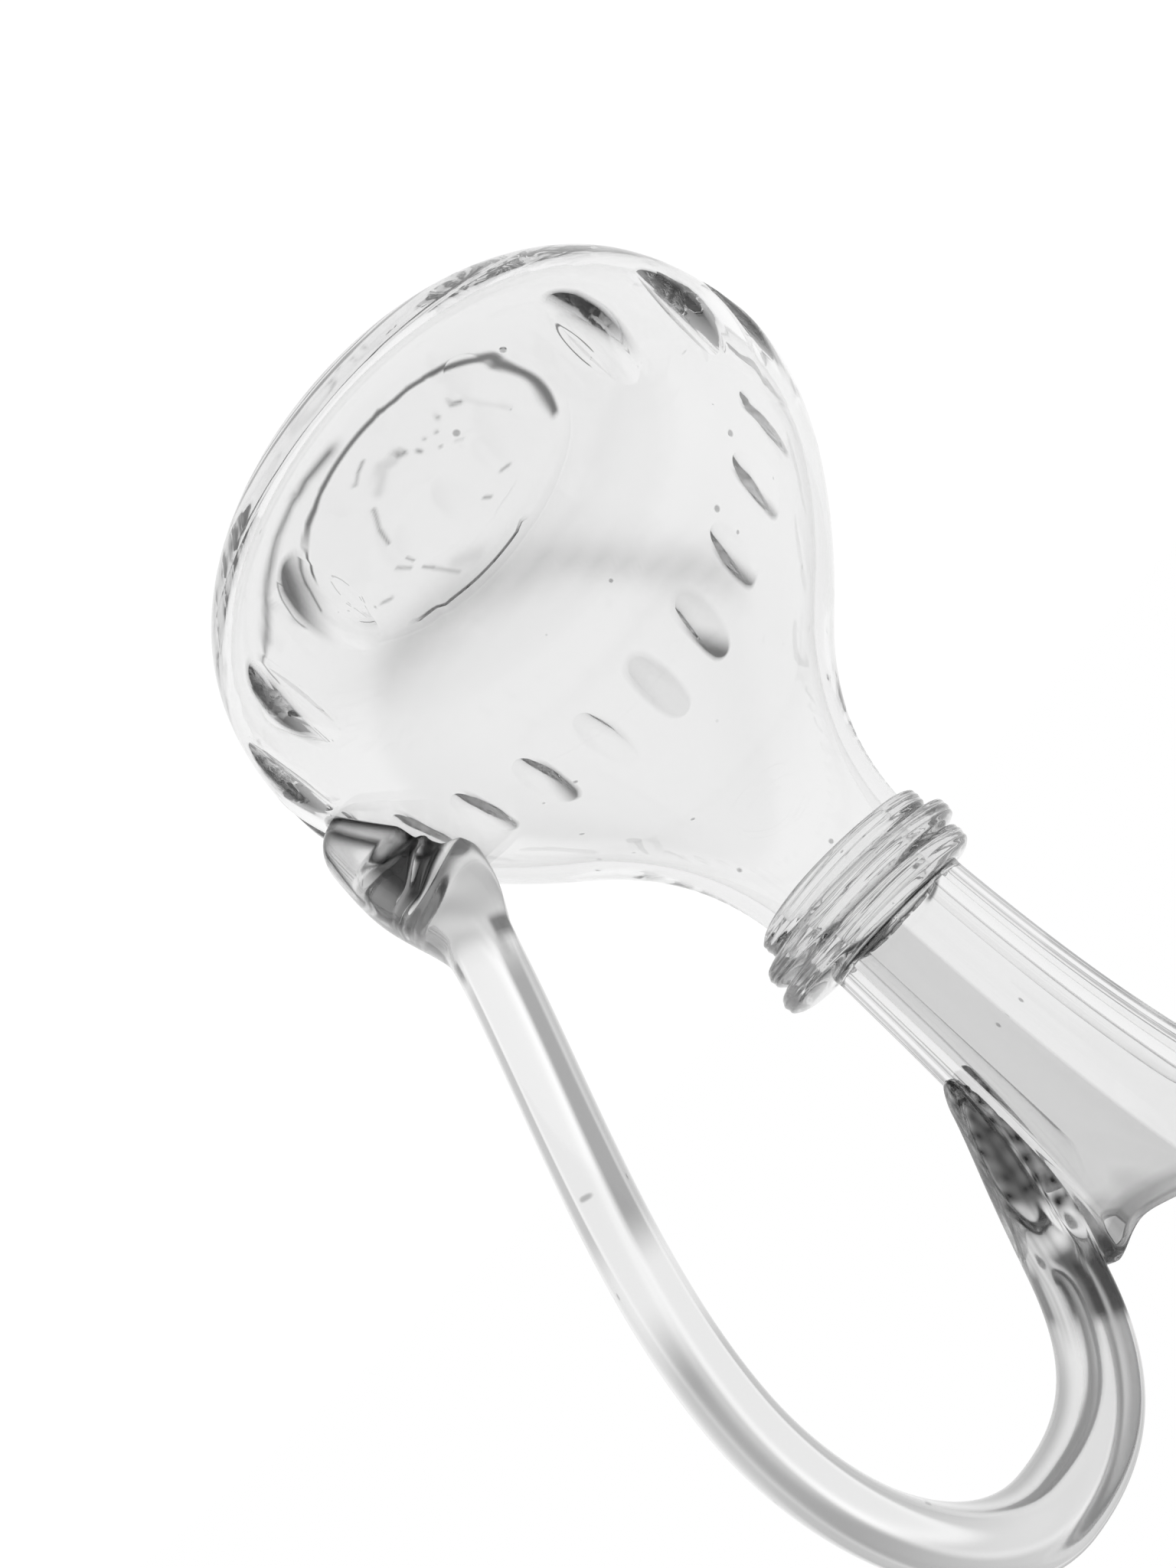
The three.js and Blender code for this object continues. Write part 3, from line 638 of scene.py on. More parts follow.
def oval_band(skin, ovals, columns, rows):
    """Belt of the belly with the ovals ground in: turns, radii, heights, a number for each rim, and tones.

    Each oval has a square cell of grid lines. The inner square of the cell is pressed into a round one, so
    that one loop of grid lines lies on the oval's rim, and the lines outside it spread back to the cell's
    edges. The cut is a paraboloid: its depth is 1 - p^2 - q^2 of the full depth, square to the glass. The
    tone is painted shade: it falls by a smooth step towards one edge of an oval. By bells of the turn some
    ovals are worn flat and some get a painted grey shade over their faces.
    """
    cell = np.arange(columns) * ovals.count / columns
    across, up = np.meshgrid((cell % 1) * 2 - 1, np.linspace(-1, 1, rows))
    level = np.maximum(np.maximum(np.abs(across), np.abs(up)), NEAR)
    inside = level <= RIM_SHARE + NEAR
    reach = np.where(inside, RIM_SHARE, level)
    p = across / reach * np.sqrt(1 - (up / reach) ** 2 / 2)
    q = up / reach * np.sqrt(1 - (across / reach) ** 2 / 2)
    spread = np.clip((level - RIM_SHARE) / (1 - RIM_SHARE), 0, 1)
    half_turn = ovals.width / 2 / skin.radius(ovals.middle_z)
    turn = lerp(p * half_turn, across / level * np.pi / ovals.count, spread)
    middle = (np.floor(cell) + 0.5) * 2 * np.pi / ovals.count
    stray = ovals.stray * ease(*STRAY_SPAN, np.sin(middle))
    z = ovals.middle_z + lerp(q * ovals.height / 2 + stray, up / level * ovals.band / 2, spread)
    around = middle - ovals.shade_turn
    worn = bell(wrapped(around - math.radians(WORN_MIDDLE)), math.radians(WORN_SPREAD), power=6)
    depth = np.where(inside, ovals.depth * (1 - worn) * (1 - p**2 - q**2), 0)
    out, rise = skin.normal(z)
    rim = np.where(np.abs(level - RIM_SHARE) < NEAR, np.floor(cell) + 1, 0)
    # Painted shade: a dark edge on one side of the ovals that lie aslant, and grey faces on two at the back
    lee_across, lee_up = 2 * np.sin(around), -np.cos(around)
    lee = (p * lee_across + q * lee_up) / np.hypot(lee_across, lee_up)
    dark = ovals.shade * ease(*LEE_SPAN, lee) * ease(*SHADE_SPAN, np.abs(np.sin(around)))
    haze = SHADED_FACE_DARK * bell(around % (2 * np.pi) - math.radians(SHADED_FACE_MIDDLE), math.radians(SHADED_FACE_SPREAD))
    tone = np.where(inside, (1 - dark) * (1 - haze), 1)
    return turn + middle, skin.radius(z) - depth * out, z - depth * rise, rim, tone


def foot_groove_shade(bulb, turn, radius):
    """Darkness of the painted shade along the groove round the foot: a bell of the distance from a circle
    that is off the axis.

    It has two arcs between smooth steps of the turn. The near one is wider inwards in one place, by a bell
    of the turn.
    """
    degrees = np.degrees(turn) % 360
    near, far = span(NEAR_ARC, degrees), span(FAR_ARC, degrees)
    width = bulb.groove_width * lerp(*ARC_WIDTHS, far)
    inward = width * (1 + WIDER * bell(degrees - WIDE_MIDDLE, WIDE_SPREAD))
    off = radius - bulb.base_radius + bulb.groove_shift * (1 - np.cos(turn - bulb.groove_turn))
    return bell(off, np.where(off < 0, inward, width), power=4) * np.maximum(near, far)


def base_marks(turn, radius):
    """Darkness of the marks under the base: each a bell of the distance from a stroke, seen from above."""
    place = np.stack([radius * np.cos(turn), radius * np.sin(turn)], -1)
    dark = np.zeros(radius.shape)
    for x1, y1, x2, y2, half_width, darkness in BASE_MARKS:
        start, stroke = MM * np.array([x1, y1]), MM * np.array([x2 - x1, y2 - y1])
        share_along = np.clip((place - start) @ stroke / (stroke @ stroke), 0, 1)
        off = np.linalg.norm(place - start - share_along[..., None] * stroke, axis=-1)
        dark = np.maximum(dark, darkness * bell(off, half_width * MM))
    return dark


def scar(bulb, turn, radius):
    """Height of the rough ridges under the base: two uneven rings.

    Each is a bell of the distance from a wavering circle, times sines of the turn that leave gaps in it.
    """
    circle = bulb.scar_radius * (1 + waves(turn, SCAR_WAVER))
    ridges = np.zeros_like(radius)
    for size, width, mean, rows in SCAR_RINGS:
        ridges += np.clip(mean + waves(turn, rows), 0, 1) * bell(radius - size * circle, width)
    return bulb.scar_height * ridges


def neck_painted_tone(skin, turn, z):
    """Tone of the neck, all painted shade: a grey panel beside the handle, dark ends of two panels, a dark
    joint and dark lip.

    Smooth steps bound the grey panel across the neck, and the joint with the rings and the lip's edge up
    it. A panel's end is an arc, a parabola across the panel. The grey panel's is filled, and of the next
    one's only half is there, as a bell of the height. Where the lip is drawn out to the handle the neck is
    darker, by painted shade too.
    """
    step = 2 * np.pi / skin.neck.panels
    panel = wrapped(turn) / step
    local = turn / step - np.round(turn / step)
    above = (z - RINGS_TOP_Z) / END_HEIGHT
    grey = span(SHADED_PANEL_SPAN, panel) * ease(0, SHADED_PANEL_START, above)
    arc = END_ARC * (1 - (2 * local) ** 2)
    full = END_FILL * arc
    filled = bell(panel + 1, END_WIDTH, power=8) * span((*END_START, full, full + END_SOFT), above)
    hook = bell(panel + 2, END_WIDTH, power=8) * bell(above - arc, END_SOFT, power=4)
    hook = hook * (1 - ease(*HOOK_SPAN, local))
    joint = span(JOINT_SPAN, z - RINGS_TOP_Z)
    edge = ease(*LIP_SPAN, z - skin.lip_z) * lip_shade(turn)
    drawn = skin.pull(wrapped(turn), z) / skin.neck.back_pull
    darkened = (1 - SHADED_PANEL_DARK * grey) * (1 - END_DARK * np.maximum(filled, hook))
    return darkened * (1 - joint) * (1 - edge) * (1 - DRAWN_DARK * drawn)


def shoulder_painted_shade(turn, z):
    """Darkness of the painted shade, a soft band that crosses the shoulder: a bell of the height over its
    slanting middle.
    """
    degrees = np.degrees(turn) % 360
    middle = MM * np.interp(degrees, *SHOULDER_SHADE_PATH)
    return SHOULDER_SHADE_DARK * span(SHOULDER_SHADE_SPAN, degrees) * bell(z - middle, SHOULDER_SHADE_WIDTH)


def lip_shade(turn):
    """Darkness of the painted shade on the lip's rounded edge: a bell of the turn makes it darkest beside
    the handle.
    """
    return LIP_DARK + LIP_DARKER * bell(wrapped(turn), LIP_SPREAD)


def vessel_surface(bulb, neck, ovals):
    """Whole skin of the vessel as rows of points, from the middle of its underside to that of its floor.

    Underside, heel, belt of ovals, shoulder, neck, lip, inside of the neck, inside of the bulb and floor
    follow one another in one outline that is turned round the axis. The underside has its scar and the line
    round the foot pressed in. The neck is then ground and poured.
    """
    skin = Skin(bulb, neck)
    turns = np.arange(VESSEL_COLUMNS) * 2 * np.pi / VESSEL_COLUMNS
    edge = bulb.base_radius + bulb.groove_width * np.array(GROOVE_REACH)
    stops = (0, *(bulb.scar_radius * np.array(SCAR_SPAN)), *edge)
    spans = zip(stops, stops[1:], UNDERSIDE_ROWS)
    radii = np.concatenate([np.linspace(low, high, count + 1)[1:] for low, high, count in spans])
    underside = np.stack([radii, np.zeros_like(radii)], 1)
    band_low = ovals.middle_z - ovals.band / 2
    band_high = ovals.middle_z + ovals.band / 2
    heel_curve, bulge_curve, hollow_curve = bulb_curves(bulb, neck, 0.0, 0.0)
    heel = cubic(heel_curve, np.linspace(0, 1, HEEL_SAMPLES) ** HEEL_CROWD)
    heel = heel[(heel[:, 1] < band_low - ROW_GAP) & (heel[:, 0] > edge[1] + ROW_GAP)]
    heel = heel[np.unique(np.round(np.linspace(0, len(heel) - 1, HEEL_ROWS)).astype(int))]
    upper = chain([bulge_curve, hollow_curve], [UPPER_SAMPLES] * 2)
    upper = upper[upper[:, 1] > band_high + ROW_GAP]
    upper = upper[np.round(np.linspace(0, len(upper) - 1, UPPER_ROWS)).astype(int)]
    t = np.array(SEAT_SHARES)
    seat = np.stack([lerp(neck.radius + neck.swell, neck.radius, t), lerp(NECK_FOOT_Z, RINGS_TOP_Z, t)], 1)
    low = np.linspace(0, FLARE_START, FLARE_ROWS + 1)[1:]
    high = np.linspace(FLARE_START, 1, FLARE_ROWS + 1)[1:]
    flare = cubic(flare_curve(neck, neck.radius, neck.lip_radius), np.concatenate([low, high]))
    bend = np.linspace(0, np.pi, LIP_ROWS + 2)[1:-1]
    half = neck.lip_wall / 2
    lip = np.stack([neck.lip_radius - half + half * np.cos(bend), skin.lip_z + half * np.sin(bend)], 1)
    inner_flare = flare_curve(neck, neck.radius - neck.wall, neck.lip_radius - neck.lip_wall)
    inner_neck = cubic(inner_flare, np.linspace(1, 0, INNER_NECK_ROWS))
    _, inner_bulge, inner_hollow = bulb_curves(bulb, neck, -bulb.wall, -neck.wall)
    belly = (bulb.belly_radius - bulb.wall, bulb.belly_z)
    middle_arm = (FLOOR_ARMS["middle"] * belly[0], bulb.base_thickness)
    heel_arm = (belly[0], lerp(bulb.belly_z, bulb.base_thickness, FLOOR_ARMS["heel"]))
    floor = ((0, bulb.base_thickness), middle_arm, heel_arm, belly)
    inner_bulb = chain([floor, inner_bulge, inner_hollow], INNER_BULB_ROWS)[1:][::-1]

    def turned(*outlines):
        """Turns, radii and heights of the outlines' points, repeated for every column."""
        radius, z = (np.repeat(values[:, None], VESSEL_COLUMNS, 1) for values in np.concatenate(outlines).T)
        return np.broadcast_to(turns, radius.shape), radius, z

    turn, radius, z = turned(underside, heel)
    # Painted shade along the shallow groove round the foot, which also sets the groove's depth
    line = foot_groove_shade(bulb, turn, radius)
    tone = (1 - GROOVE_SHADE_DARK * line) * (1 - base_marks(turn, radius))
    below = (turn, radius, z + scar(bulb, turn, radius) + bulb.groove * line, np.zeros_like(z), tone)
    turn, radius, z, rim, tone = oval_band(skin, ovals, VESSEL_COLUMNS, BAND_ROWS)
    # Painted shade across the shoulder, laid over the belt of ovals
    band = (turn, radius, z, rim, tone * (1 - shoulder_painted_shade(turn, z)))
    # Painted shade on the neck and across the shoulder
    turn, radius, z = turned(upper, seat)
    shoulder = (turn, radius, z, np.zeros_like(z), neck_painted_tone(skin, turn, z) * (1 - shoulder_painted_shade(turn, z)))
    # Painted shade on the ground neck
    turn, radius, z = turned(flare)
    ground = (turn, skin.ground(radius, turn, z), z, np.zeros_like(z), neck_painted_tone(skin, turn, z))
    # Painted shade on the lip's rounded edge
    turn, radius, z = turned(lip)
    rounded = (turn, radius, z, np.zeros_like(z), 1 - lip_shade(turn))
    turn, radius, z = turned(inner_neck, inner_bulb)
    within = (turn, radius, z, np.zeros_like(z), np.ones_like(z))
    parts = zip(below, band, shoulder, ground, rounded, within)
    turn, radius, z, rim, tone = (np.concatenate(values) for values in parts)
    x, y, z = pour(skin, radius * np.cos(turn), radius * np.sin(turn), z)
    rows = np.stack([x + AXIS_X, y, z], -1)
    poles = np.array([[AXIS_X, 0, 0], [AXIS_X, 0, bulb.base_thickness]])
    return rows, poles, rim, tone


# Rings

def ring_surface(box, neck, rings, seed):
    """One thread round the neck as a closed loop of sections: half a superellipse and the seat inside it.

    The half superellipse is as high as the packed ring. Its depth is the packed one, larger towards the lap
    at the handle by a smooth step, and it varies by slow sines of the turn, as the thread also does in
    height. Lines drawn along the thread are a sine of the height.
    """
    low, high = box
    turn = np.arange(RING_COLUMNS) * 2 * np.pi / RING_COLUMNS
    height = high.z - low.z
    middle = (low.z + high.z) / 2
    taper = neck.swell / (RINGS_TOP_Z - NECK_FOOT_Z)
    seat_middle = neck.radius + taper * (RINGS_TOP_Z - middle)
    depth = high.y - seat_middle
    lap = high.x - AXIS_X - high.y
    away = np.abs(wrapped(turn)) / rings.lap_spread
    uneven = waves(turn, [(size, count, phase * seed) for size, count, phase in RING_UNEVEN])
    depth = depth * (1 + rings.swell * uneven / 2) + lap * (1 - ease(0, 1, away))
    wander = rings.wave * waves(turn, RING_WANDER)
    bend = np.linspace(-np.pi / 2, np.pi / 2, RING_ROWS)
    power = 2 / rings.fullness
    bead = np.sign(bend) * np.abs(np.sin(bend)) ** power
    up = np.concatenate([bead, np.linspace(1, -1, RING_SEAT_ROWS + 2)[1:-1]])[:, None]
    out = np.concatenate([np.cos(bend) ** power, np.zeros(RING_SEAT_ROWS)])[:, None]
    z = middle + up * (height + RING_GAP) / 2 + wander
    seat = neck.radius + taper * (RINGS_TOP_Z - z) - rings.seat_depth
    lines = rings.streak * np.sin(RING_LINES * up + waves(turn, ((3, 1, seed), (2, 3, 0))))
    radius = seat + out * (depth + rings.seat_depth + lines)
    return np.stack([radius * np.cos(turn) + AXIS_X, radius * np.sin(turn), z], -1)


# Handle

def swell(start, full, end, t):
    """A size that starts and ends as given and swells to its fullest between, by half a sine."""
    return lerp(start, end, t) + (full - (start + end) / 2) * np.sin(np.pi * t)


def handle_path(skin, handle):
    """Middle line, width and thickness of the handle from the lower pad's tip to the upper pad's tip.

    Five cubic curves in the XZ plane: over the bulb, up from the bulb, round the loop, down to the neck and
    along it. x is measured from the vessel's axis.
    """
    def direction(angle):
        """Unit step at an angle above level."""
        return np.array([math.cos(angle), math.sin(angle)])

    lip_z = skin.lip_z
    back = skin.neck.radius * math.cos(math.pi / skin.neck.panels)
    foot_up, landing_up = direction(handle.foot_lean), direction(handle.landing_fall)
    foot_x = float(skin.radius(handle.foot_z)) + handle.foot_standoff
    reach_x = STRAP_HIGH.x - AXIS_X - (handle.thick_foot + handle.thick_end) / 4
    foot = np.array([foot_x, handle.foot_z + handle.foot_rise])
    reach = np.array([reach_x, lip_z - handle.loop_drop])
    end = np.array([back + handle.landing_out, lip_z + handle.landing_up])
    top = np.array([(reach[0] + end[0]) / 2, STRAP_HIGH.z - handle.thick_end / 2])
    tip_z = handle.foot_z - handle.foot_fall
    pad_tip = (float(skin.radius(tip_z)), tip_z)
    pad_middle = (foot_x, handle.foot_z - handle.foot_standoff)
    pad_bend = foot - PAD_ARMS["foot"] * (foot[1] - tip_z) * foot_up
    rise = STRAP_ARMS["rise"] * (reach[1] - foot[1])
    loop = STRAP_ARMS["loop"] * (reach - top)
    fall = STRAP_ARMS["fall"] * (top[0] - end[0])
    tongue_tip = np.array([back + handle.tongue_tip_thick / 2, lip_z - handle.tongue_length])
    tongue_flat = tongue_tip + (0, PAD_ARMS["tip"] * handle.tongue_length)
    curves = [
        (pad_tip, pad_middle, pad_bend, foot),
        (foot, foot + rise * foot_up, reach - (0, rise), reach),
        (reach, reach - (0, loop[1]), top + (loop[0], 0), top),
        (top, top - (fall, 0), end + fall * landing_up, end),
        (end, end - PAD_ARMS["landing"] * handle.tongue_length * landing_up, tongue_flat, tongue_tip),
    ]
    line = chain(curves, HANDLE_ROWS)
    steps = np.linalg.norm(np.diff(line, axis=0), axis=1)
    along = np.concatenate([[0], np.cumsum(steps)])
    first, last = STRAP_ROWS
    t_pad = 1 - along / along[first]
    t_strap = (along - along[first]) / (along[last] - along[first])
    t_tongue = (along - along[last]) / (along[-1] - along[last])
    part = np.digitize(along, [along[first], along[last]])
    thick = np.choose(part, [
        swell(handle.thick_foot, handle.foot_thick, handle.foot_tip_thick, t_pad),
        lerp(handle.thick_foot, handle.thick_end, t_strap),
        swell(handle.thick_end, handle.tongue_thick, handle.tongue_tip_thick, t_tongue),
    ])
    width = np.choose(part, [
        swell(handle.width, handle.foot_width, handle.foot_tip_width, t_pad),
        np.full_like(along, handle.width),
        lerp(handle.tongue_tip_width, handle.width, (1 - t_tongue) ** 2),
    ])
    return line, along, width, thick


def section(half_thick, half_width, ridge, crispness, flat, turn):
    """Rounded six-sided section of the handle, as its reach outwards and sideways for every row and turn.

    The faces are the outer and the inner one and two on each side, which meet at the ridge. A face with the
    unit normal n lies at the distance d from the middle. Along a direction u the section reaches to u over
    the k-norm of all u.n / d that are positive, where k is the crispness of the corners.
    """
    a, b, c, k = (values[:, None] for values in (half_thick, half_width, ridge, crispness))
    u_out, u_side = a * np.cos(turn), b * np.abs(np.sin(turn))
    fall = b * (1 - flat)
    outer = (fall * u_out + a * (1 - c) * u_side) / (a * b * (1 - c + c * (1 - flat)))
    inner = (-fall * u_out + a * (1 + c) * u_side) / (a * b * (1 + c - c * (1 - flat)))
    sides = [np.abs(u_out) / a, np.clip(outer, 0, None), np.clip(inner, 0, None)]
    size = sum(side**k for side in sides) ** (-1 / k)
    return size * u_out, size * b * np.sin(turn)


def fold_lines(out):
    """Places of the lower pad's three folds, as shares of its length: quadratics in the reach across it."""
    return [start + lean * out + bow * out**2 for start, lean, bow in FOLDS]


def fold_valley(folds, steps, s):
    """1 between the first and the last fold, with smooth steps that begin before a fold and end after it."""
    first, _, last = folds
    before, after = steps
    return span((first - before, first + after, last - after, last + before), s)


def lower_folds(s, out):
    """The valley pinched across the lower pad's sides, as a share of its depth.

    Steep smooth steps at the first and the last fold bound the valley, and a thin bell at the second one
    leaves a crease in it. s is the share of the pad's length.
    """
    folds = fold_lines(out)
    crease = CREASE_HEIGHT * bell(s - folds[1], CREASE_WIDTH)
    return fold_valley(folds, VALLEY_STEPS, s) * (1 - ease(*VALLEY_END, out)) * (1 - crease)


def lower_tone(s, out, side):
    """Tone of the lower pad, painted light and shade: a pale lobe, the valley in painted shadow with painted
    highlights at the folds, and a grey lobe.

    A sine draws strands along the lobes. Smooth steps bound the valley, and each highlight is a bell. The
    valley is darker on the side that faces -Y.
    """
    folds = fold_lines(out)
    valley = fold_valley(folds, SHADOW_STEPS, s) * (1 - ease(*SHADOW_END, out))
    lines = sum(bell(s - place, FOLD_HIGHLIGHT_WIDTH) for place in folds)
    strands = STRAND_TONE * np.sin(STRAND_COUNT * s + STRAND_LEAN * out)
    lobes = lerp(*LOBE_TONES, ease(folds[0], folds[2], s)) + strands
    shadow = lerp(*SHADOW_TONES, ease(*SHADOW_SIDE, side))
    return lerp(lobes, shadow, valley) + FOLD_HIGHLIGHT * np.clip(lines, 0, 1)


def upper_tone(from_end, out, turn):
    """Tone of the upper pad, painted light and shade: dark along the neck, and mottled by a product of sines
    outside and inside.
    """
    fine, coarse = (from_end / size for size in MOTTLE_LENGTHS)
    mottle = np.sin(fine + waves(turn, MOTTLE_SWAY)) * np.sin(MOTTLE_COUNT * turn + coarse)
    inside = MOTTLE_INSIDE_SHARE * (1 - ease(*MOTTLE_INSIDE, out))
    mottled = np.maximum(ease(*MOTTLE_OUTSIDE, out), inside)
    return lerp(TONGUE_TONE, MOTTLE_TONE + MOTTLE_DEPTH * mottle, mottled)


def upper_marks(handle, from_end, from_tip, turn):
    """Depth of the marks pressed across the upper pad near its tip and of the seam along its sides.

    Each mark is a bell of the distance from the tip, and the seam a bell of the cosine of the turn.
    """
    outside = ease(*TOOL_SPAN, np.cos(turn))
    sway = 1 + waves(turn, TOOL_SWAY)
    marks = sum(bell(from_tip - place * sway, TOOL_WIDTH) for place in TOOL_MARKS)
    there = ease(*SEAM_START, from_end) * ease(*SEAM_END, from_tip)
    seam = bell(np.cos(turn) - SEAM_MIDDLE, SEAM_WIDTH) * there
    return handle.tool_mark * marks * outside + handle.seam * seam


def strap_tone(t, out, ridge):
    """Tone of the strap at a share t of its length: a grey band of painted shade, a painted highlight on the
    ridge and painted shade at the landing.

    Smooth steps bound the shaded band and the landing. The band lies inside the ridge up to half way and
    outside it from there. The highlight is a bell of the distance from the ridge.
    """
    low, full, end, gone = SHADE_BAND_INSIDE
    inside = span((low, full, ridge + end, ridge + gone), out) * span(SHADE_BAND_INSIDE_LENGTH, t)
    low, full, end, gone = SHADE_BAND_OUTSIDE
    outside = span((ridge + low, ridge + full, end, gone), out) * span(SHADE_BAND_OUTSIDE_LENGTH, t)
    shade_band = inside + outside * (1 - SHADE_BAND_THINNER * ease(*SHADE_BAND_THINS, t))
    landing = span(LANDING_LENGTH, t) * span(LANDING_SPAN, out)
    tone = lerp(1 - SHADE_BAND_DARK * shade_band, LANDING_TONE, landing)
    return tone + lerp(*RIDGE_HIGHLIGHT, landing) * bell(out - ridge, RIDGE_HIGHLIGHT_WIDTH)


def handle_tone(here, pad_end, tongue, ridge, turn, gap):
    """Tone of the handle at the lengths here along it, painted light and shade: the strap's, blended by
    smooth steps into each pad's.

    Sines streak the strap's inside with painted shade where it lands. A pad has painted shade where its edge
    meets the vessel, by a bell of the gap between them, and smooth steps bound a patch of painted shade over
    the lower pad.
    """
    out = np.cos(turn)
    on_pad = 1 - ease(pad_end - PAD_BLEND, pad_end + PAD_BLEND, here)
    tongue_start = tongue + lerp(*TONGUE_STARTS, ease(*TONGUE_SPLIT, out))
    on_tongue = ease(tongue_start, tongue_start + PAD_BLEND, here)
    tone = strap_tone((here - pad_end) / (tongue - pad_end), out, ridge)
    tone = lerp(tone, lower_tone(here / pad_end, out, np.sin(turn)), on_pad)
    streaked = ease(*STREAK_LENGTH, here - tongue) * (1 - ease(*STREAK_SPAN, out))
    tone = lerp(tone, STREAK_TONE + waves(turn, STREAKS), streaked)
    tone = lerp(tone, upper_tone(here - tongue, out, turn), on_tongue)
    rim = bell(gap, lerp(*RIM_WIDTHS, ease(*RIM_LENGTH, here / pad_end)), power=4)
    shade_patch = span(SHADE_PATCH_LENGTH, here - pad_end) * span(SHADE_PATCH_SPAN, out)
    return tone * (1 - rim * (on_pad + RIM_TONGUE * on_tongue)) * (1 - SHADE_PATCH_DARK * shade_patch)


def smooth(values):
    """Running mean of a row of values, weighted by a bell over the neighbours on either side."""
    kernel = np.exp(-0.5 * np.linspace(-SMOOTH_REACH, SMOOTH_REACH, 2 * SMOOTH_ROWS + 1) ** 2)
    return np.convolve(np.pad(values, SMOOTH_ROWS, "edge"), kernel / kernel.sum(), "valid")


def handle_surface(bulb, neck, handle):
    """The handle as one bar of glass: a rounded section carried along its middle line, its pads pressed on.

    Near both tips the section shrinks as a quarter circle does. What would lie inside the vessel is pressed
    out to just under the vessel's skin.
    """
    skin = Skin(bulb, neck)
    line, along, width, thick = handle_path(skin, handle)
    tangent = np.gradient(line, along, axis=0)
    tangent /= np.linalg.norm(tangent, axis=1)[:, None]
    half_width, half_thick = smooth(width) / 2, smooth(thick) / 2
    total, pad_end, tongue = along[-1], along[STRAP_ROWS[0]], along[STRAP_ROWS[1]]
    stops = (pad_end - STRAP_BLEND, pad_end + STRAP_BLEND, tongue - STRAP_BLEND, tongue + STRAP_BLEND)
    on_strap = span(stops, along)
    ridge = lerp(handle.ridge_foot, handle.ridge_end, ease(pad_end, tongue, along)) * on_strap
    crispness = lerp(handle.pad_crispness, handle.strap_crispness, on_strap)
    turn = np.arange(HANDLE_COLUMNS) * 2 * np.pi / HANDLE_COLUMNS
    out, side = section(half_thick, half_width, ridge, crispness, handle.flat, turn)
    close = np.minimum(along, total - along)
    round_off = np.sqrt(1 - (1 - np.clip(close / TIP_ROUND, 0, 1)) ** 2)
    here = along[:, None]
    sunk = handle.crimp * lower_folds(here / pad_end, np.cos(turn))
    sunk = sunk + upper_marks(handle, here - tongue, total - here, turn)
    size = (round_off[:, None] * (1 - sunk / half_thick[:, None]))[1:-1]
    middle, ahead = line[1:-1], tangent[1:-1]
    off = size * out[1:-1]
    x = middle[:, :1] + ahead[:, 1:] * off
    y = size * side[1:-1]
    z = middle[:, 1:] - ahead[:, :1] * off
    around = np.arctan2(y, x)
    upright = x - skin.pull(around, z)
    level = z - neck.back_lift * skin.pull(around, z)
    low = level < skin.lip_z
    upright = upright + np.where(low, skin.lean(level), 0)
    around, far = np.arctan2(y, upright), np.hypot(upright, y)
    skin_radius = skin.ground(skin.radius(level), around, level) - HANDLE_SEAT
    pressed = np.where(low, np.maximum(far, skin_radius), far)
    x = x + (pressed - far) * np.cos(around)
    y = y + (pressed - far) * np.sin(around)
    rows = np.stack([x + AXIS_X, y, z], -1)
    poles = np.stack([line[[0, -1], 0] + AXIS_X, np.zeros(2), line[[0, -1], 1]], 1)
    gap = np.where(low, far - skin_radius, np.inf)
    # Painted light and shade of the handle
    tone = handle_tone(here[1:-1], pad_end, tongue, ridge[1:-1, None], turn, gap)
    return rows, poles, tone


# Meshes

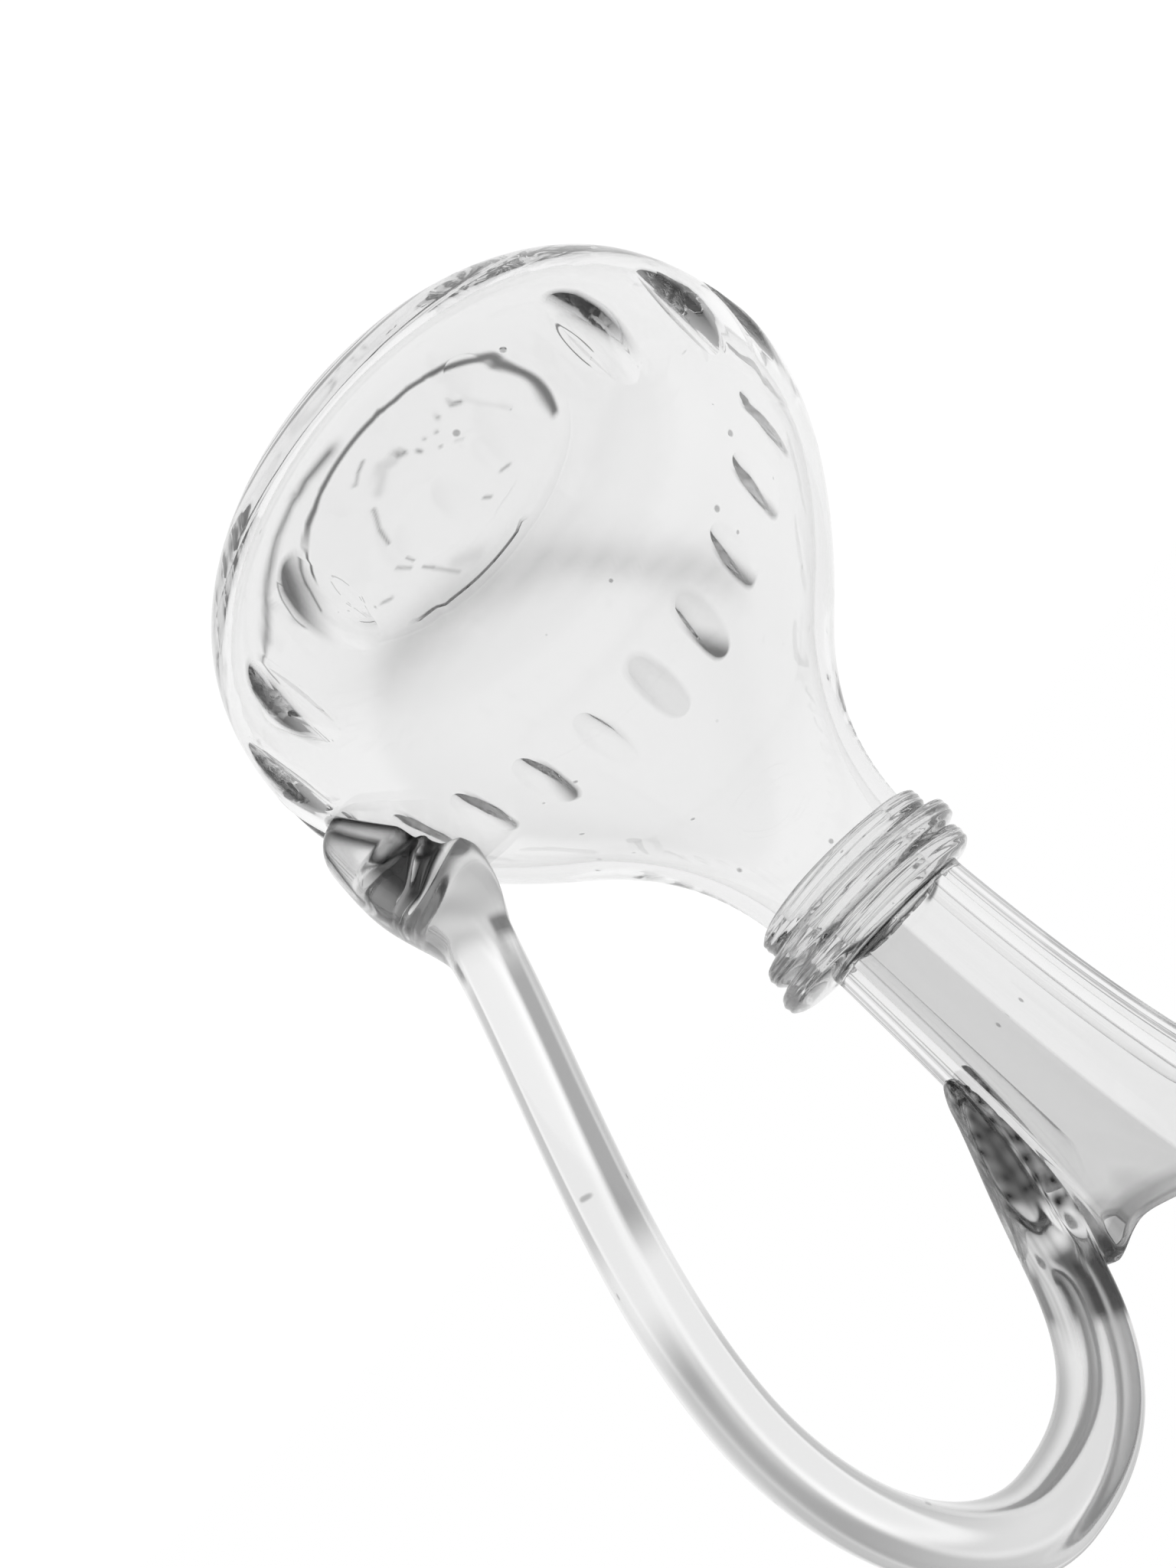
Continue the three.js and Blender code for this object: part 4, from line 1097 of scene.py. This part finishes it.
def skin_mesh(name, rows, poles=None, lines=None, tone=None):
    """Closed mesh over rows of points that each run round in a ring.

    Quads join neighbouring points. With two poles, fans of triangles close the first and last rows;
    without, the last row joins the first. lines numbers the points that lie on a sharp line, 0 for none.
    tone is kept with the points.
    """
    count, columns = rows.shape[:2]
    index = np.arange(count * columns).reshape(count, columns)
    following = np.roll(index, -1, 1)
    pairs = count - 1 if poles is not None else count
    above = np.roll(index, -1, 0)
    above_following = np.roll(following, -1, 0)
    quads = np.stack([index, following, above_following, above], -1)[:pairs].reshape(-1, 4)
    points = rows.reshape(-1, 3)
    fans = np.zeros((0, 3), int)
    if poles is not None:
        first = np.full(columns, len(points))
        bottom = np.stack([first, following[0], index[0]], 1)
        top = np.stack([first + 1, index[-1], following[-1]], 1)
        fans = np.concatenate([bottom, top])
        points = np.concatenate([points, poles])
    halves = np.concatenate([quads[:, :3], quads[:, [0, 2, 3]], fans])
    a, b, c = points[halves.T]
    if np.einsum("ij,ij->", a, np.cross(b, c)) < 0:
        quads, fans = quads[:, ::-1], fans[:, ::-1]
    corners = np.concatenate([quads.ravel(), fans.ravel()])
    starts = np.concatenate([np.arange(len(quads)) * 4, len(quads) * 4 + np.arange(len(fans)) * 3])
    mesh = bpy.data.meshes.new(name)
    mesh.vertices.add(len(points))
    mesh.vertices.foreach_set("co", points.astype(np.float32).ravel())
    mesh.loops.add(len(corners))
    mesh.loops.foreach_set("vertex_index", corners.astype(np.int32))
    mesh.polygons.add(len(starts))
    mesh.polygons.foreach_set("loop_start", starts.astype(np.int32))
    mesh.polygons.foreach_set("use_smooth", np.ones(len(starts), bool))
    mesh.update(calc_edges=True)
    if lines is not None:
        marks = np.concatenate([lines.ravel(), np.zeros(len(points) - lines.size)])
        ends = np.zeros(len(mesh.edges) * 2, np.int32)
        mesh.edges.foreach_get("vertices", ends)
        start, end = marks[ends.reshape(-1, 2).T]
        sharp = mesh.attributes.new("sharp_edge", "BOOLEAN", "EDGE")
        sharp.data.foreach_set("value", (start == end) & (start > 0))
    if tone is not None:
        shades = np.concatenate([tone.ravel(), np.ones(len(points) - tone.size)])
        mesh.attributes.new("tone", "FLOAT", "POINT").data.foreach_set("value", shades.astype(np.float32))
    mesh.validate()
    piece = bpy.data.objects.new(name, mesh)
    bpy.context.scene.collection.objects.link(piece)
    return piece


def settle(piece, material, nodes):
    """Gives a piece its material, hangs it under the root body and hides the packed nodes that it stands
    for.
    """
    piece.data.materials.append(material)
    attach(piece, "root")
    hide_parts(*nodes)


# Shaders

class Wire:
    """A socket of a node tree. Arithmetic on wires adds Math nodes, and node() adds any other node."""

    def __init__(self, tree, socket=None):
        self.tree = tree
        self.socket = socket

    def node(self, kind, settings=None, sockets=None, output=0):
        """Adds a node with its settings and its sockets' values or wires, and gives one of its outputs."""
        made = self.tree.nodes.new(kind)
        for name, value in (settings or {}).items():
            setattr(made, name, value)
        for name, value in (sockets or {}).items():
            if isinstance(value, Wire):
                self.tree.links.new(value.socket, made.inputs[name])
            else:
                made.inputs[name].default_value = value
        return Wire(self.tree, made.outputs[output]) if made.outputs else None

    def math(self, operation, *values):
        """A Math node on values or wires."""
        return self.node("ShaderNodeMath", {"operation": operation}, dict(enumerate(values)))

    def __add__(self, other):
        return self.math("ADD", self, other)

    def __radd__(self, other):
        return self.math("ADD", other, self)

    def __sub__(self, other):
        return self.math("SUBTRACT", self, other)

    def __rsub__(self, other):
        return self.math("SUBTRACT", other, self)

    def __mul__(self, other):
        return self.math("MULTIPLY", self, other)

    def __rmul__(self, other):
        return self.math("MULTIPLY", other, self)

    def __gt__(self, other):
        return self.math("GREATER_THAN", self, other)

    def between(self, low, high):
        """Smooth step of a wire: 0 below low and 1 above high."""
        sockets = {"Value": self, "From Min": low, "From Max": high}
        return self.node("ShaderNodeMapRange", {"interpolation_type": "SMOOTHSTEP"}, sockets)


def fresh(owner):
    """Empties the node tree of a new material or world and gives a wire to build it from."""
    owner.use_nodes = True
    owner.node_tree.nodes.clear()
    return Wire(owner.node_tree)


def glass(name, look, clear):
    """Clear glass with the finish of that name, ripples drawn out along it, a few specks and faint smears.

    Its tint runs from the darkest colour to the clear one by the mesh's tone, which holds painted light and
    shade. A smooth step lowers that tone where the surface turns away, as more painted shade.
    """
    finish = FINISHES[name]
    material = bpy.data.materials.new(name)
    start = fresh(material)
    place = start.node("ShaderNodeTexCoord", output="Object")
    drawn = start.node("ShaderNodeMapping", None, {"Vector": place, "Scale": finish["drawn"]})
    ripple = start.node("ShaderNodeTexNoise", None, {"Vector": drawn, "Scale": RIPPLE_SCALE, "Detail": 2.0})
    smear = start.node("ShaderNodeTexNoise", None, {"Vector": place, "Scale": SMEAR_SCALE, "Detail": 4.0})
    cells = {"Vector": place, "Scale": SPECK_SCALE}
    speck_near = start.node("ShaderNodeTexVoronoi", None, cells, output="Distance")
    speck_colour = start.node("ShaderNodeTexVoronoi", None, cells, output="Color")
    chosen = start.node("ShaderNodeSeparateColor", None, {"Color": speck_colour}) > SPECKLESS
    speck = (1 - speck_near.between(*SPECK_SIZE)) * chosen
    tone = start.node("ShaderNodeAttribute", {"attribute_name": "tone"}, output="Fac")
    # Painted shade: the tint darkens where the surface turns away from the view
    away = start.node("ShaderNodeLayerWeight", None, {"Blend": 0.5}, output="Facing")
    tone = tone * (1 - finish["edge"] * away.between(*finish["away"]))
    shade_tint = {0: tone, 6: (*look.shade_tint, 1), 7: (*clear, 1)}
    tint = start.node("ShaderNodeMix", {"data_type": "RGBA", "clamp_factor": False}, shade_tint, output=2)
    specked = {0: speck, 6: tint, 7: (*look.speck, 1)}
    height = ripple - SPECK_DENT * speck
    shader = start.node("ShaderNodeBsdfPrincipled", None, {
        "Base Color": start.node("ShaderNodeMix", {"data_type": "RGBA"}, specked, output=2),
        "Roughness": finish["haze"] + SMEAR_HAZE * smear.between(*SMEAR_SPAN),
        "IOR": look.bend,
        "Transmission Weight": 1.0,
        "Normal": start.node("ShaderNodeBump", None, {"Distance": look.ripple, "Height": height}),
        "Specular Tint": (finish["mirror"],) * 3 + (1,),
    })
    start.node("ShaderNodeOutputMaterial", None, {"Surface": shader})
    return material


# Operators

class CARAFE_OT_vessel(bpy.types.Operator):
    """Blow the vessel: bulb, ovals, neck, lip and inside"""

    bl_idname = "carafe.vessel"
    bl_label = "Vessel"

    def execute(self, context):
        scene = context.scene
        rows, poles, rims, tone = vessel_surface(scene.carafe_bulb, scene.carafe_neck, scene.carafe_ovals)
        piece = skin_mesh("vessel_glass", rows, poles, rims, tone)
        look = scene.carafe_glass
        settle(piece, glass("vessel_glass", look, look.clear), ["vessel"])
        return {"FINISHED"}


class CARAFE_OT_rings(bpy.types.Operator):
    """Lay the three threads of glass round the neck"""

    bl_idname = "carafe.rings"
    bl_label = "Neck rings"

    def execute(self, context):
        scene = context.scene
        look = scene.carafe_glass
        material = glass("ring_glass", look, look.clear)
        for seed, (node, box) in enumerate(zip(RING_NODES, RING_BOXES)):
            rows = ring_surface(box, scene.carafe_neck, scene.carafe_rings, seed)
            piece = skin_mesh(node + "_glass", rows, tone=np.ones(rows.shape[:2]))
            settle(piece, material, [node])
        return {"FINISHED"}


class CARAFE_OT_handle(bpy.types.Operator):
    """Draw the handle and land it on the bulb and the neck"""

    bl_idname = "carafe.handle"
    bl_label = "Handle"

    def execute(self, context):
        scene = context.scene
        rows, poles, tone = handle_surface(scene.carafe_bulb, scene.carafe_neck, scene.carafe_handle)
        look = scene.carafe_glass
        material = glass("handle_glass", look, look.thick)
        nodes = ["handle_lower_pad", "handle_strap", "handle_upper_pad"]
        settle(skin_mesh("handle_glass", rows, poles, tone=tone), material, nodes)
        return {"FINISHED"}


def seen_ray(start):
    """1 for a ray that shows the background: from the camera, or off or through glass."""
    camera = start.node("ShaderNodeLightPath", output="Is Camera Ray")
    glossy = start.node("ShaderNodeLightPath", output="Is Glossy Ray")
    through = start.node("ShaderNodeLightPath", output="Is Transmission Ray")
    return camera.math("MAXIMUM", camera, camera.math("MAXIMUM", glossy, through))


def mirrored_ray(start):
    """1 for a ray that glass has mirrored on its way, inside or out."""
    return start.node("ShaderNodeLightPath", output="Glossy Depth") > 0.5


def bounced(start):
    """Dims what is seen after two or more mirrored steps inside the glass, by a step at each such depth."""
    depth = start.node("ShaderNodeLightPath", output="Glossy Depth")
    return 1 - sum(dimmed * (depth > passed) for passed, dimmed in BOUNCE_DIM)


def make_floor(look):
    """Round pale floor: rings of points at growing radii, just under the carafe."""
    radii = np.linspace(FLOOR_MIDDLE, 1, FLOOR_ROWS) ** FLOOR_CROWD * look.floor_radius
    turn = np.arange(FLOOR_COLUMNS) * 2 * np.pi / FLOOR_COLUMNS
    x, y = radii[:, None] * np.cos(turn), radii[:, None] * np.sin(turn)
    top = np.stack([x, y, np.full_like(x, -FLOOR_DROP)], -1)
    under = top[::-1] - (0, 0, FLOOR_THICKNESS)
    poles = np.array([[0, 0, -FLOOR_DROP], [0, 0, -FLOOR_DROP - FLOOR_THICKNESS]])
    floor = skin_mesh("floor", np.concatenate([top, under]), poles)
    material = bpy.data.materials.new("floor_paper")
    start = fresh(material)
    paper = start.node("ShaderNodeBsdfDiffuse", None, {"Color": (*look.floor_colour, 1)})
    glow = start.node("ShaderNodeEmission", None, {"Color": FLOOR_GLOW * bounced(start)})
    shown = seen_ray(start) * FLOOR_SHOWN
    shader = start.node("ShaderNodeMixShader", None, {0: shown, 1: paper, 2: glow})
    start.node("ShaderNodeOutputMaterial", None, {"Surface": shader})
    floor.data.materials.append(material)


def make_world(scene):
    """White background for the camera, a dimmer room for the glass and soft light for the rest.

    The room is dimmer overhead and, for mirrored rays, in walls round its pole with a window in them, each
    between smooth steps.
    """
    scene.world = bpy.data.worlds.new("studio")
    start = fresh(scene.world)
    seen = seen_ray(start)
    camera = start.node("ShaderNodeLightPath", output="Is Camera Ray")
    place = start.node("ShaderNodeTexCoord", output="Generated")
    up = start.node("ShaderNodeSeparateXYZ", None, {"Vector": place}, output="Z")
    ceiling = 1 - CEILING_DIM * up.between(*CEILING_SPAN)
    towards = {0: place, 1: ROOM_POLE}
    pole = start.node("ShaderNodeVectorMath", {"operation": "DOT_PRODUCT"}, towards, output="Value")
    walls = pole.between(*WALL_SPAN) * WALL_DIM - WINDOW_LIGHT * pole.between(*WINDOW_SPAN)
    room = ceiling * bounced(start) * (1 - mirrored_ray(start) * walls)
    light = SOFT_LIGHT * (1 - seen) + seen * (camera + (1 - camera) * room)
    backdrop = start.node("ShaderNodeBackground", None, {"Color": light})
    start.node("ShaderNodeOutputWorld", None, {"Surface": backdrop})


def make_camera(scene, look):
    """Camera from its yaw, pitch and roll: the view, then the picture's right and down turned about it."""
    yaw, pitch, roll = look.camera_yaw, look.camera_pitch, look.camera_roll
    ahead = Vector((math.sin(yaw) * math.cos(pitch), math.cos(yaw) * math.cos(pitch), math.sin(pitch)))
    level = Vector((math.cos(yaw), -math.sin(yaw), 0))
    below = -level.cross(ahead)
    right = level * math.cos(roll) + below * math.sin(roll)
    down = below * math.cos(roll) - level * math.sin(roll)
    data = bpy.data.cameras.new("camera")
    data.lens = look.lens
    data.clip_start = NEAREST_SEEN
    camera = bpy.data.objects.new("camera", data)
    scene.collection.objects.link(camera)
    axes = Matrix((right, -down, -ahead)).transposed()
    camera.matrix_world = Matrix.Translation(look.camera_place) @ axes.to_4x4()
    scene.camera = camera


class CARAFE_OT_stage(bpy.types.Operator):
    """Lay the floor, light the carafe and set up the camera"""

    bl_idname = "carafe.stage"
    bl_label = "Stage"

    def execute(self, context):
        scene = context.scene
        make_floor(scene.carafe_stage)
        make_world(scene)
        make_camera(scene, scene.carafe_stage)
        scene.view_settings.view_transform = "Standard"
        for name, count in BOUNCES.items():
            setattr(scene.cycles, name, count)
        return {"FINISHED"}


OPERATORS = (CARAFE_OT_vessel, CARAFE_OT_rings, CARAFE_OT_handle, CARAFE_OT_stage)


class CARAFE_PT_tools(bpy.types.Panel):
    """Lists the carafe's sizes and the steps that build it"""

    bl_label = "Carafe"
    bl_space_type = "VIEW_3D"
    bl_region_type = "UI"
    bl_category = "Carafe"

    def draw(self, context):
        for name, group in GROUPS.items():
            box = self.layout.box()
            box.label(text=group.__doc__)
            for key in group.__annotations__:
                box.prop(getattr(context.scene, name), key)
        for operator in OPERATORS:
            self.layout.operator(operator.bl_idname)


CLASSES = (*GROUPS.values(), *OPERATORS, CARAFE_PT_tools)


def register():
    """Registers the classes and hangs the sizes on the scene."""
    for item in CLASSES:
        bpy.utils.register_class(item)
    for name, group in GROUPS.items():
        setattr(bpy.types.Scene, name, PointerProperty(type=group))


def unregister():
    """Undoes register()."""
    for name in GROUPS:
        delattr(bpy.types.Scene, name)
    for item in reversed(CLASSES):
        bpy.utils.unregister_class(item)


def main():
    """Registers the classes and builds the carafe and its stage."""
    register()
    bpy.ops.carafe.vessel()
    bpy.ops.carafe.rings()
    bpy.ops.carafe.handle()
    bpy.ops.carafe.stage()


if __name__ == "__main__":
    main()
